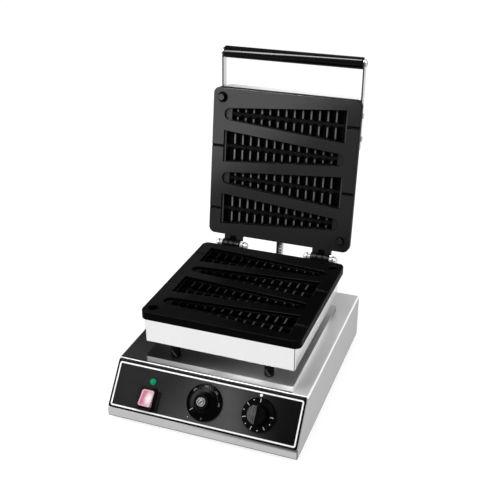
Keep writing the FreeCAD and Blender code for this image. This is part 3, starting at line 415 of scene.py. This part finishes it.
def flat_ring(size, corner, width, place):
    """A flat frame with rounded corners, centred on its place."""
    ring = bmesh.new()
    bmesh.ops.create_grid(ring, x_segments=1, y_segments=1, size=0.5, matrix=Matrix.Diagonal((*size, 1, 1)))
    bmesh.ops.bevel(
        ring, geom=ring.verts[:], offset=corner, affect="VERTICES", segments=6, profile=0.5, material=-1,
    )
    inner = ring.faces[:]
    bmesh.ops.inset_region(ring, faces=inner, thickness=width, use_boundary=True, use_even_offset=True)
    bmesh.ops.delete(ring, geom=inner, context="FACES_ONLY")
    bmesh.ops.transform(ring, matrix=place, verts=ring.verts)
    return ring


def on_panel(x, up, lift):
    return on_slope @ Matrix.Translation((x, up, lift))


line = flat_ring(line_size, line_corner, line_width, on_panel(0, line_middle, panel_face + ink_lift))
for x, up, radius in ((0.0685, 0.0549, 0.0019), (-0.0173, 0.0103, 0.0005)):
    ink_dot(line, on_panel(x, up, panel_face + ink_lift), radius)
thicken(line)
piece("panel_line", line, white_ink, "base")

# A near-black bead round the panel, a dark piece put where shade lies along the panel's edges.
shade_bead = mottled("black_shade_bead", 500, (grey(0.002), grey(0.005)), (0.5, 0.2), specular_ior_level=0.1)
bead_middle, bead_size = 0.0319, (0.2480, 0.0620)
bead_corner, bead_width, bead_height = 0.0030, 0.0016, 0.0005
bead = flat_ring(bead_size, bead_corner, bead_width, on_panel(0, bead_middle, 0))
thicken(bead, -bead_height)
piece("panel_shade_bead", bead, shade_bead, "base")

trim_grey = mottled(
    "trim_grey", 1, (grey(0.008), grey(0.016)), (0.5, 0.2), stretch=(20, 900, 900), specular_ior_level=0.1,
)
trim_up, trim_radius, trim_length, trim_bevel = 0.0615, 0.0005, 0.2430, 0.0002
trim = bmesh.new()
bmesh.ops.create_cone(
    trim, cap_ends=True, segments=12, radius1=trim_radius, radius2=trim_radius, depth=trim_length,
    matrix=on_panel(0, trim_up, panel_face) @ Matrix.Rotation(math.radians(90), 4, "Y"),
)
ends = [edge for edge in trim.edges if abs(edge.verts[0].co.x + edge.verts[1].co.x) > trim_length / 2]
bmesh.ops.bevel(trim, geom=ends, offset=trim_bevel, affect="EDGES", segments=2, profile=0.5, material=-1)
piece("panel_trim", trim, trim_grey, "base")

# Mains rocker: a red lamp-lit moulding with a raised rim, in a black snap-in frame. It tilts on two stub pins.
# A pale patch right of its middle is a painted highlight, set in both its colour and its glow.
frame_black, wire, shader = finish("frame_moulding")
across = slope_places(wire)[0]
swirl = grain(wire, on_object(wire), 60, 2)
# Painted shade: the frame's right part is painted near black; the rest keeps this mottled tone.
frame_tone = wire.mix(swirl, grey(0.008), grey(0.012))
settle(
    wire, shader, base_color=wire.mix(across.rise(-0.0690, -0.0670), frame_tone, grey(0.0004)),
    roughness=0.3 + 0.12 * swirl, specular_ior_level=0.01,
)
dress(frame_black, "rocker_frame")

rocker_middle = Vector((-0.0747, 0.0203, 0))
rocker_width, rocker_length = 0.0164, 0.0212
rocker_under, rocker_high, rocker_mid, rocker_low = -0.0045, 0.0078, 0.0046, 0.0032
rocker_corner, rocker_rim, rocker_step, rocker_dish, rocker_edge = 0.0030, 0.0013, 0.0006, 0.0005, 0.0006
stub_x, stub_z, stub_radius, stub_length = 0.0085, -0.0035, 0.0014, 0.0015
rocker_rest = math.radians(-7)
rocker_pivot = rocker_middle + Vector((0, 0, stub_z))
rocker_place = (
    on_slope @ Matrix.Translation(rocker_pivot) @ Matrix.Rotation(rocker_rest, 4, "X")
    @ Matrix.Translation(rocker_middle - rocker_pivot)
)

lit_red, wire, shader = finish("rocker_lit")
across, up = slope_places(wire)[:2]
swirl = grain(wire, on_object(wire), 420, 3)
# Painted highlight: a pale patch right of the middle, in both colour and glow.
glow_x, glow_up = rocker_middle.x + 0.0034, rocker_middle.y + 0.0006
aside, above = across - glow_x, up - glow_up
reach = wire.math("SQRT", aside * aside * 1.5 + above * above * 0.55)
glow = 1 - (reach + 0.0022 * (swirl - 0.5)).rise(0.0012, 0.0095)
settle(
    wire, shader, base_color=wire.mix(glow, (0.42, 0.13, 0.19), (0.56, 0.55, 0.55)),
    emission_color=wire.mix(glow, (0.30, 0.07, 0.12), (0.50, 0.49, 0.48)), emission_strength=0.5,
    roughness=0.16 + 0.1 * swirl, specular_ior_level=0.08,
)
pink_shades = ((0.60, 0.34, 0.39), (0.74, 0.50, 0.54))
clear_pink = mottled("rocker_rim", 300, pink_shades, (0.12, 0.1), detail=2, specular_ior_level=0.1)


def sink(shape, faces, steps):
    """Insets faces again and again, each time by a width and a height."""
    for width, height in steps:
        bmesh.ops.inset_region(shape, faces=faces, thickness=width, depth=height, use_even_offset=True)


def cut(shape, place, across):
    """Cuts a shape's faces along a plane and keeps both sides."""
    everything = shape.verts[:] + shape.edges[:] + shape.faces[:]
    bmesh.ops.bisect_plane(shape, geom=everything, plane_co=place, plane_no=across)


def round_off(made, degrees=35):
    """Smooth shading that keeps the edges sharper than an angle."""
    made.data.shade_smooth()
    made.data.set_sharp_from_angle(angle=math.radians(degrees))


rocker = bmesh.new()
bmesh.ops.create_cube(rocker, size=1, matrix=Matrix.Diagonal((rocker_width, rocker_length, 1, 1)))
cut(rocker, (0, 0, 0), (0, 1, 0))
for vert in rocker.verts:
    if vert.co.z < 0:
        vert.co.z = rocker_under
    elif abs(vert.co.y) < 1e-6:
        vert.co.z = rocker_mid
    else:
        vert.co.z = rocker_low if vert.co.y > 0 else rocker_high
corners = [
    edge for edge in rocker.edges
    if abs(edge.verts[0].co.z - edge.verts[1].co.z) > 0.005 and abs(edge.verts[0].co.y) > 0.005
]
bmesh.ops.bevel(
    rocker, geom=corners, offset=rocker_corner, affect="EDGES", segments=5, profile=0.5, material=-1,
)
tops = [face for face in rocker.faces if face.normal.z > 0.9]
sink(rocker, tops, ((rocker_rim, 0), (rocker_step, -rocker_dish)))
for face in tops:
    face.material_index = 1
lip = [
    edge for edge in rocker.edges
    if edge.calc_face_angle(0) > math.radians(60) and min(vert.co.z for vert in edge.verts) > 0.002
]
bmesh.ops.bevel(rocker, geom=lip, offset=rocker_edge, affect="EDGES", segments=3, profile=0.5, material=-1)
for side in (-1, 1):
    pin = Matrix.Translation((side * stub_x, 0, stub_z)) @ Matrix.Rotation(math.radians(90), 4, "Y")
    bmesh.ops.create_cone(
        rocker, cap_ends=True, segments=20, radius1=stub_radius, radius2=stub_radius, depth=stub_length,
        matrix=pin,
    )
bmesh.ops.transform(rocker, matrix=rocker_place, verts=rocker.verts)
rocker_piece = piece("rocker_moulding", rocker, clear_pink, "switch_rocker")
rocker_piece.data.materials.append(lit_red)
round_off(rocker_piece)
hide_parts("rocker")

# Pilot lamp: a lit dome of green plastic on a long holder, pushed through the panel from the front until its
# thin black flange stops it.
lens_foot = 0.00172
green, wire, shader = finish("lens_green")
off = slope_places(wire)[2]
swirl = grain(wire, on_object(wire), 200, 2)
dome = off > lens_foot
green_shade = wire.mix(swirl, (0.0, 0.09, 0.04), (0.001, 0.12, 0.055))
green_glow = wire.mix(swirl, (0.0, 0.24, 0.095), (0.002, 0.30, 0.12))
settle(
    wire, shader, base_color=wire.mix(dome, grey(0.002), green_shade),
    emission_color=wire.mix(dome, grey(0), green_glow), emission_strength=0.75,
    roughness=0.3 + 0.1 * swirl, specular_ior_level=0.04,
)
dress(green, "pilot_lamp_lens")


# Temperature knob: moulded black with a flared skirt, pushed on the thermostat's shaft. The skirt carries
# grey numbers, dots and a white pointer, and a plated cap with a slot closes the hub.
def ink_bar(ink, place, width, length):
    bar = Matrix.Diagonal((width, length, 1, 1))
    bmesh.ops.create_grid(ink, x_segments=1, y_segments=1, size=0.5, matrix=place @ bar)


def ink_number(ink, place, number, height):
    """Digits as flat faces, centred on their place."""
    words = bpy.data.curves.new("digits", "FONT")
    words.body = str(number)
    words.size = height * 1.4
    words.align_x = "CENTER"
    words.align_y = "CENTER"
    words.resolution_u = 3
    words.offset = height * 0.02
    holder = bpy.data.objects.new("digits", words)
    flat = bpy.data.meshes.new_from_object(holder)
    flat.transform(place)
    ink.from_mesh(flat)
    bpy.data.objects.remove(holder)
    bpy.data.meshes.remove(flat)


dial_up = 0.0315


def dial_place(x, angle, radius, lift, fall=0):
    """A place on a dial's skirt, with Y pointing outwards along the skirt and Z off it."""
    turn = Matrix.Rotation(math.radians(angle - 90), 4, "Z")
    tilt = Matrix.Rotation(-fall, 4, "X")
    return on_panel(x, dial_up, 0) @ turn @ Matrix.Translation((0, radius, lift + ink_lift)) @ tilt


temperature_x = 0.0005
skirt_edge, skirt_foot, skirt_run, skirt_climb = 0.0220, 0.0040, 0.0090, 0.0024
dial_black, wire, shader = finish("dial_moulding")
across, up = slope_places(wire)[:2]
swirl = grain(wire, on_object(wire), 60, 2)
aside, above = across - temperature_x, up - dial_up
reach = aside.reach(above)
# Painted sheen: the skirt's left flank is painted paler.
left_side = (0.3 * above - 0.9 * aside).rise(0.003, 0.014)
flank = reach.rise(0.0090, 0.0120) * (1 - reach.rise(0.0150, 0.0190)) * left_side
painted_flank_sheen = wire.mix(swirl, grey(0.022), grey(0.042))
settle(
    wire, shader, base_color=wire.mix(flank, grey(0.0006), painted_flank_sheen),
    roughness=0.2 + 0.12 * swirl, specular_ior_level=0.018,
)
dress(dial_black, "temperature_knob")


def on_cone(angle, radius):
    lift = skirt_foot + (skirt_edge - radius) * skirt_climb / skirt_run
    return dial_place(temperature_x, angle, radius, lift, math.atan2(skirt_climb, skirt_run))


grey_ink = mottled("grey_ink", 1400, (grey(0.13), grey(0.22)), (0.5, 0.1), detail=2)
number_reach, number_height, dot_reach, dot_radius = 0.0195, 0.0022, 0.0184, 0.0003
off_angle, first_angle, number_turn, dot_turn = -87, 3, 45, 9
marks = bmesh.new()
ink_number(marks, on_cone(off_angle, number_reach), 0, number_height)
for step in range(4):
    angle = first_angle + number_turn * step
    ink_number(marks, on_cone(angle, number_reach), 100 + 50 * step, number_height)
    for part in (1, 2, 3, 4):
        if step < 3:
            ink_dot(marks, on_cone(angle + dot_turn * part, dot_reach), dot_radius)
thicken(marks)
piece("temperature_marks", marks, grey_ink, "temperature_dial")
pointer_angle, pointer_reach, pointer_width, pointer_length = 218, 0.0178, 0.00038, 0.0052
pointer = bmesh.new()
ink_bar(pointer, on_cone(pointer_angle, pointer_reach), pointer_width, pointer_length)
thicken(pointer)
piece("temperature_pointer", pointer, white_ink, "temperature_dial")

cap_radius, cap_seat, cap_height, cap_turn = 0.0054, 0.0149, 0.0018, 40
cap_slot, cap_slot_depth = 0.0015, 0.0012
cap_grey, wire, shader = finish("cap_plate")
off = slope_places(wire)[2]
smear = grain(wire, on_object(wire), 900, 3).rise(0.35, 0.65)
wear_and_edge_glint = wire.mix(smear, grey(0.03), grey(0.16))
# Painted shade: all below the cap's top faces, its sunk ring, its slot and its sides, is painted near black.
sunk_level = cap_seat + cap_height - 0.0004
settle(
    wire, shader, base_color=wire.mix(off > sunk_level, grey(0.002), wear_and_edge_glint),
    metallic=1.0, roughness=0.4 + 0.1 * smear,
)


def pull(shape, faces, height):
    """Draws faces out of a shape along Z."""
    drawn = bmesh.ops.extrude_face_region(shape, geom=faces)["geom"]
    verts = [part for part in drawn if isinstance(part, bmesh.types.BMVert)]
    bmesh.ops.translate(shape, vec=(0, 0, height), verts=verts)


cap = bmesh.new()
bmesh.ops.create_circle(cap, cap_ends=True, segments=48, radius=cap_radius)
pull(cap, cap.faces[:], cap_height)
bmesh.ops.recalc_face_normals(cap, faces=cap.faces)
crown = [face for face in cap.faces if face.normal.z > 0.9]
sink(cap, crown, ((0.0011, 0), (0.0003, -0.0007), (0.0004, 0), (0.0002, 0.0006)))
for side in (-1, 1):
    cut(cap, (0, side * cap_slot / 2, 0), (0, 1, 0))
strip = []
for face in cap.faces:
    middle = face.calc_center_median()
    if face.normal.z > 0.9 and abs(middle.y) < cap_slot / 4 and abs(middle.x) < 0.0004:
        strip.append(face)
pull(cap, strip, -cap_slot_depth)
bmesh.ops.delete(cap, geom=strip, context="FACES_ONLY")
cap_place = on_panel(temperature_x, dial_up, cap_seat) @ Matrix.Rotation(math.radians(cap_turn), 4, "Z")
bmesh.ops.transform(cap, matrix=cap_place, verts=cap.verts)
cap_piece = piece("temperature_cap", cap, cap_grey, "temperature_dial")
round_off(cap_piece)
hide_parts("temperature_knob_cap")

# Timer knob: moulded black with a flat skirt, with a line and a number for each minute and a dot for each
# half. The left half of its round grip is stepped down for the thumb, left matt and coloured a paler, streaked
# grey.
timer_x, timer_skirt = 0.0705, 0.0058
timer_black, wire, shader = finish("timer_moulding")
across, up, off = slope_places(wire)
swirl = grain(wire, on_object(wire), 60, 2)
drawn = grain(wire, on_object(wire, (700, 90, 90)), 1, 3)
thumb_level = (off > 0.0122) * (off < 0.0126)
thumb = thumb_level * (across < timer_x - 0.0013) * (up < dial_up + 0.0102)
black = wire.mix(swirl, grey(0.0004), grey(0.0012))
matt = wire.mix(drawn.rise(0.35, 0.65), grey(0.035), grey(0.115))
settle(
    wire, shader, base_color=wire.mix(thumb, black, matt),
    roughness=0.2 + 0.12 * swirl + 0.35 * thumb, specular_ior_level=0.018,
)
dress(timer_black, "timer_knob")
half_minute, mark_reach, count_reach, count_height = 27, 0.0184, 0.0160, 0.0019
marks = bmesh.new()
for step in range(11):
    angle = 90 + half_minute * step
    mark_place = dial_place(timer_x, angle, mark_reach, timer_skirt)
    if step % 2:
        ink_dot(marks, mark_place, 0.00055)
    else:
        ink_bar(marks, mark_place, 0.0006, 0.0022)
        ink_number(marks, dial_place(timer_x, angle, count_reach, timer_skirt), step // 2, count_height)
thicken(marks)
piece("timer_marks", marks, white_ink, "timer_dial")

# Cable gland: moulded black nylon with a hexagon against the back wall of the housing. It is held by a
# locknut inside.
nylon = mottled("black_nylon", 500, (grey(0.008), grey(0.018)), (0.4, 0.15))
dress(nylon, "cable_gland", "gland_locknut")

# Plinth: a low tray of polished sheet, stiffened under each leg by a spacer. Its colour carries a painted
# reflection, dark to the left and pale to the right, with painted light and shade on its right wall and top.
# The legs that stand on it are blued steel sleeves round long bolts, each with a painted glint.
head_x, leg_spread = 0.0080, 0.0620
plinth_steel, wire, shader = finish("plinth_steel")
place = wire.node("TexCoord", output="Object")
x, back, height = place.axes()
lines = grain(wire, on_object(wire, (6, 1200, 1200)), 1, 3)
cloud = grain(wire, on_object(wire, (1, 3, 3)), 14, 3)
# Painted reflection: the tone runs from dark on the left to pale on the right.
tone_share = (place.along((1, 0.25, 0)) + 0.04 * (cloud - 0.5)).rise(-0.115, 0.085)
on_top, right_wall = height > 0.0783, x > plinth_right
# Painted light: the right wall is bright at its front and darker at its back, and the top darker at its far
# right and at its back.
bright_wall = wire.mix(back.rise(0.01, 0.065), grey(0.98), grey(0.31))
wall = wire.mix(right_wall, wire.mix(tone_share, grey(0.30), grey(0.97)), bright_wall)
top_shade = wire.mix(tone_share, grey(0.015), grey(0.95))
top_shade = wire.mix(x.rise(0.060, 0.100), top_shade, grey(0.48))
top_shade = wire.mix(back.rise(-0.02, 0.06), top_shade, grey(0.36))
settle(
    wire, shader, base_color=wire.mix(on_top, wall, top_shade),
    metallic=1 - 0.35 * right_wall * (1 - on_top), roughness=0.40 + 0.08 * lines,
)
bump(wire, shader, lines, 0.03, 0.0001)
dress(plinth_steel, "plinth_tray")
leg_black, wire, shader = finish("leg_blueing")
x, _, height = wire.node("TexCoord", output="Object").axes()
patch = grain(wire, on_object(wire), 300, 3)
beside = x - head_x
leg_x = beside - leg_spread * wire.math("SIGN", beside)
# Painted glint: a thin pale diagonal stroke on each leg.
painted_glint = ((leg_x + 0.8 * (height - 0.0845)).size() < 0.0004) * (height > 0.0805) * (height < 0.0885)
blued = wire.mix(patch, grey(0.001), grey(0.005))
settle(
    wire, shader, base_color=wire.mix(painted_glint, blued, grey(0.22)),
    roughness=0.3 + 0.2 * patch, specular_ior_level=0.03,
)
dress(leg_black, "stand_legs")

# Casings: polished sheet folded into boxes round the heaters, one under the lower plate and one on the lid.
# The folds meet in a butted seam at each corner. The left walls are painted darker, a painted shade that keeps
# them grey under the light from the left, and the lid's top wall is painted paler, a painted highlight.
casing_half, casing_front = 0.0975, -0.1255
hinge_pin = Vector((0, 0.0952, 0.1385))
lid_angle = math.radians(97.6)
into_lid = (0, math.sin(lid_angle), math.cos(lid_angle))
up_lid = (0, -math.cos(lid_angle), math.sin(lid_angle))
lid_top = hinge_pin.dot(Vector(up_lid)) + 0.2200
darker_left_wall = grey(0.40, 0.005)
casing_steel, wire, shader = finish("casing_steel")
place, lines, cloud = brushed(wire)
x, back, height = place.axes()
tone_share = lines * 0.35 + cloud * 0.65
corner_way = (x - head_x).size() + back - (casing_half + casing_front)
seam = (corner_way.size() < 0.0007) * (back < -0.12) * (height < 0.1305)
shade = wire.mix(tone_share, grey(0.64, 0.005), grey(0.70))
# Painted shade: the left wall is given a darker tone.
shade = wire.mix(x - head_x < 0.0004 - casing_half, shade, darker_left_wall)
settle(
    wire, shader, base_color=wire.mix(seam, shade, grey(0.03)),
    metallic=1.0, roughness=0.14 + 0.08 * lines + 0.3 * seam,
)
bump(wire, shader, lines, 0.015, 0.0001)
dress(casing_steel, "lower_casing")
lid_steel, wire, shader = finish("lid_steel")
place, lines, cloud = brushed(wire)
tone_share = lines * 0.35 + cloud * 0.65
shade = wire.mix(tone_share, grey(0.60, 0.005), grey(0.68))
shade = wire.mix(place.along((1, 0, 0)) - head_x < 0.0004 - casing_half, shade, darker_left_wall)
# Painted highlight: the lid's top wall is painted paler than its sides.
top_shade = wire.mix(tone_share, grey(0.92), grey(0.97))
settle(
    wire, shader, base_color=wire.mix(place.along(up_lid) > lid_top, shade, top_shade),
    metallic=1.0, roughness=0.27 + 0.08 * lines,
)
bump(wire, shader, lines, 0.02, 0.0001)
dress(lid_steel, "upper_casing")

# Heaters, clamps and pads: tubes bent to and fro, with dark annealed sheaths, pressed on the backs of the
# plates by flat steel clamps with screws. Slabs of pale mineral fibre lie behind them in the casings.
dark_steel = mottled("dark_steel", 300, (grey(0.012, 0.001), grey(0.03)), (0.25, 0.2), metallic=1.0)
dress(dark_steel, "lower_heater", "upper_heater", "lower_heater_clamp", "upper_heater_clamp")
fibre, wire, shader = finish("fibre_pad")
fuzz = grain(wire, on_object(wire), 900, 4)
settle(wire, shader, base_color=wire.mix(fuzz, (0.6, 0.57, 0.45), (0.8, 0.77, 0.66)), roughness=0.95)
dress(fibre, "lower_insulation", "upper_insulation")

# Plates: cast iron with a baked black coating, with a glossy coat on the face and the rib tops. Light and
# shade are painted into the coating's colour: a painted light gradient on the face, a painted highlight along
# the middle of each rib top and on the ledges, a painted glint on the far edges of the lower plate's moulds,
# and painted shade in black on the mould walls, the pockets, the gaps between the knuckles, the notch above
# them, the bosses' sides, a ring beside one boss and the far rims.
# These places on a plate are in millimetres from its face, its middle or its hinge pin.
knuckle_middle, knuckle_radius, knuckle_half = 65.5, 7.2, 11.6
slit_middle, slit_half = 4.15, 1.2
notch_half, notch_start, notch_end = 4.6, 6.2, 12
moulds_start, moulds_end, moulds_half = 18, 214, 97
first_mould, mould_pitch = 27.1, 45.3
ribs_half, nose_start, ledge_start = 74, 76.9, 83.6
boss_x, boss_out, boss_ring_radius = -90.0, 208.3, 7.4
rim_start = 221.1


def baked_coating(
    name, inwards, outwards, face_depth, lit_way, lit_steps, face_shades, rib_shades, wear_and_edge_glint, gloss,
):
    """inwards points into the plate, outwards from the hinge to the plate's front, and face_depth is how far
    along inwards the face lies, in metres. The face carries a painted light gradient, paler along lit_way,
    from shade to shade at each of the lit_steps, and the painted highlight on the ribs runs from its first
    shade at the left to its second at the right. The second to last argument is how strongly a painted glint
    shows on the far edges of the moulds."""
    material, wire, shader = finish(name)
    place = wire.node("TexCoord", output="Object")
    x, back, height = place.axes()
    depth = (place.along(inwards) - face_depth) * 1000
    right = (x - head_x) * 1000
    beside = right.size()
    out = (place.along(outwards) - hinge_pin.dot(Vector(outwards))) * 1000
    off_pin = (back - hinge_pin.y).reach(height - hinge_pin.z) * 1000
    along_pin = (beside - knuckle_middle).size()
    knuckle = off_pin < knuckle_radius
    slits = ((along_pin - slit_middle).size() < slit_half).either(along_pin > knuckle_half)
    notch = (along_pin < notch_half) * (off_pin > notch_start) * (off_pin < notch_end)
    inside = (out > moulds_start) * (out < moulds_end) * (beside < moulds_half)
    face = depth < 0.35
    floor = (depth > 4.2) * (depth < 4.9) * inside
    ribs = floor * (beside < ribs_half)
    row = wire.math("FLOOR", (out - first_mould) * (1 / mould_pitch))
    narrow_end = right * (1 - 2 * wire.math("MODULO", row, 2)) > 0
    nose = floor * (beside > nose_start) * narrow_end
    ledge = floor * (beside > ledge_start) * (1 - narrow_end)
    channel = (depth > 6.7) * (depth < 7.3) * inside
    # Painted shade: the bosses' sides, a ring beside one boss and the band past the plate's far rim are
    # painted black.
    boss = (depth < -0.2) * (depth > -4.9) * (1 - knuckle)
    boss_ring = ((right - boss_x).reach(out - boss_out) < boss_ring_radius) * (depth > -0.2)
    painted_black = boss.either(boss_ring).either(out > rim_start)
    flat = face.either(floor) * (1 - painted_black)
    # Painted shade: the walls and pockets are painted black, and ambient occlusion darkens the floors near the
    # walls.
    hollow = wire.node("AmbientOcclusion", {"samples": 8}, {"Distance": 0.006}, "AO").rise(0.70, 0.97)
    rounded = wire.node("Bevel", {"samples": 6}, {"Radius": 0.0007})
    bend = 1 - rounded.along(wire.node("NewGeometry", output="True Normal"))
    # Painted glint: paler far edges of the moulds, where the rounded edge turns towards the front.
    far_edges = rounded.along((0.4, -0.9, 0)).rise(0.10, 0.45) * face * inside * wear_and_edge_glint
    wide = grain(wire, on_object(wire), 24, 3)
    fine = grain(wire, on_object(wire), 1500, 3)
    # Painted light gradient across the face.
    lit = place.along(lit_way) + 0.03 * (wide - 0.5)
    black = grey(0.0006)
    pale = lit.rise(*lit_steps[1])
    tone = wire.mix(pale, wire.mix(lit.rise(*lit_steps[0]), *face_shades[:2]), face_shades[2])
    shade = wire.mix(flat * face.either(nose).either(hollow), black, tone)
    # Painted highlight: a pale line along the middle of each rib top and on the ledges, fading near the walls.
    shade = wire.mix(ribs, shade, black)
    rib_shade = wire.mix(right.rise(-60, 80), *rib_shades)
    shade = wire.mix(ribs * hollow * (1 - bend.rise(0.02, 0.12)), shade, rib_shade)
    shade = wire.mix(ledge * 0.5, shade, rib_shade)
    shade = wire.mix(channel * 0.3, shade, face_shades[1])
    shade = wire.mix(far_edges, shade, rib_shade)
    # Painted shade: the knuckles are darker, and the gaps between them and the notch above them are black.
    shade = wire.mix(knuckle, shade, grey(0.004))
    shade = wire.mix(notch.either(knuckle * slits), shade, black)
    settle(
        wire, shader, base_color=shade, roughness=0.42 + 0.1 * wide, specular_ior_level=0.02,
        coat_weight=gloss * flat * (0.3 + 0.7 * pale) * (1 - knuckle) + 0.07 * knuckle * (1 - slits),
        coat_roughness=0.26,
    )
    bent = wire.node("Bump", {}, {"Height": fine, "Strength": 0.08, "Distance": 0.0003, "Normal": rounded})
    wire.plug(shader.inputs["Normal"], bent)
    return material


lower_coating = baked_coating(
    "lower_coating", inwards=(0, 0, -1), outwards=(0, -1, 0), face_depth=-0.1415,
    lit_way=(-1, 0.6, 0), lit_steps=((-0.12, -0.05), (0.00, 0.05)),
    face_shades=(grey(0.001), grey(0.003), grey(0.008)), rib_shades=(grey(0.010), grey(0.06)),
    wear_and_edge_glint=0.8, gloss=0.05,
)
dress(lower_coating, "lower_plate")
lid_coating = baked_coating(
    "lid_coating", inwards=into_lid, outwards=up_lid, face_depth=hinge_pin.dot(Vector(into_lid)) + 0.0034,
    lit_way=(-0.7, 0, 1), lit_steps=((0.03, 0.13), (0.25, 0.35)),
    face_shades=(grey(0.0006), grey(0.020), grey(0.064)), rib_shades=(grey(0.17), grey(0.13)),
    wear_and_edge_glint=0.0, gloss=0.3,
)
dress(lid_coating, "upper_plate")

# Hinges: two steel studs through the knuckles of both plates, with a domed nut on each end. The nuts are
# plated bright, with painted dark reflections in their necks and along the corners of their flats.
nut_seat, neck_start, neck_half, flats_end = 13.2, 5.3, 0.8, 4.9
nut_chrome, wire, shader = finish("nut_chrome")
x, back, height = wire.node("TexCoord", output="Object").axes()
patch = grain(wire, on_object(wire), 300, 2)
along_nut = ((x - head_x).size() * 1000 - knuckle_middle).size() - nut_seat
round_pin = wire.math("ARCTAN2", height - hinge_pin.z, back - hinge_pin.y)
corners = wire.math("SINE", 3 * round_pin).size() < 0.30
neck = (along_nut - neck_start).size() < neck_half
# Painted reflection: dark bands in the necks and along the corners of the flats.
painted_dark_reflection = neck.either((along_nut < flats_end) * corners)
settle(
    wire, shader, base_color=wire.mix(painted_dark_reflection, wire.mix(patch, grey(0.80), grey(0.95)), grey(0.03)),
    metallic=0.4, roughness=0.15 + 0.08 * patch,
)
dress(nut_chrome, "hinge_nuts")

# Handle: a turned grip with a hard black gloss on a rod between two flat polished bars, which are screwed to
# the sides of the lid. A button screw in each end of the rod holds the bars.
grip_shades = (grey(0.0004), grey(0.0012))
grip_black = mottled("grip_gloss", 1, grip_shades, (0.06, 0.04), stretch=(12, 90, 90), specular_ior_level=0.07)
dress(grip_black, "handle_grip")
arm_steel, wire, shader = finish("arm_steel")
lines = grain(wire, on_object(wire, (1500, 1500, 5)), 1, 3)
# Painted shade: the bars' narrow faces towards the front are painted dark.
narrow = wire.node("TexCoord", output="Normal").along((0, -1, 0)).rise(0.7, 0.9)
broad = wire.mix(lines, grey(0.50, 0.005), grey(0.58))
settle(
    wire, shader, base_color=wire.mix(narrow, broad, grey(0.05)),
    metallic=1.0, roughness=0.2 + 0.1 * lines,
)
dress(arm_steel, "handle_arm_left", "handle_arm_right")

# Conduit: a bare ribbed steel hose, wound from strip, that carries the lid's wires up from the deck. A turned
# fitting with a locknut holds it at each end.
dress(zinc, "conduit_deck_fitting", "conduit_deck_locknut", "conduit_lid_fitting", "conduit_lid_locknut")
hose_x, hose_radius, rib_height, hose_ribs = 0.0080, 0.0047, 0.0008, 24
ring_share = (0.0, 0.55, 1.0, 1.0, 0.55, 0.0)
hose_ends = [(0.11370, 0.0725), (0.11370, 0.1123), (0.11928, 0.1542)]
hose_steel, wire, shader = finish("hose_steel")
patch = grain(wire, on_object(wire), 420, 3)
beside = wire.node("TexCoord", output="Object").along((1, 0, 0)) - hose_x
# Painted light: the hose is painted dark on its left and bright on its right, with a ragged edge between.
painted_lit_side = (beside + 0.010 * (patch - 0.5)).rise(0.0005, 0.0045)
settle(
    wire, shader, base_color=wire.mix(painted_lit_side, grey(0.02), grey(0.90)),
    metallic=1.0, roughness=0.2 + 0.15 * patch,
)
route = bpy.data.curves.new("conduit_route", "CURVE")
route.dimensions = "3D"
path = route.splines.new("NURBS")
path.points.add(len(hose_ends) - 1)
for point, (y, z) in zip(path.points, hose_ends):
    point.co = (hose_x, y, z, 1)
path.order_u = 3
path.use_endpoint_u = True
path.resolution_u = hose_ribs * len(ring_share)
holder = bpy.data.objects.new("conduit_route", route)
way = bpy.data.meshes.new_from_object(holder)
stations = [vert.co.copy() for vert in way.vertices]
bpy.data.objects.remove(holder)
hose = bmesh.new()
last = None
for index, here in enumerate(stations):
    ahead = stations[min(index + 1, len(stations) - 1)] - stations[max(index - 1, 0)]
    ring_place = Matrix.Translation(here) @ ahead.to_track_quat("Z", "Y").to_matrix().to_4x4()
    ring = bmesh.ops.create_circle(
        hose, cap_ends=index in (0, len(stations) - 1), segments=24,
        radius=hose_radius + rib_height * ring_share[index % len(ring_share)], matrix=ring_place,
    )
    edges = list({edge for vert in ring["verts"] for edge in vert.link_edges})
    if last:
        bmesh.ops.bridge_loops(hose, edges=last + edges)
    last = edges
bmesh.ops.recalc_face_normals(hose, faces=hose.faces)
for face in hose.faces:
    face.smooth = True
hose_piece = piece("conduit_hose", hose, hose_steel, None)
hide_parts("conduit")
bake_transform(hose_piece)
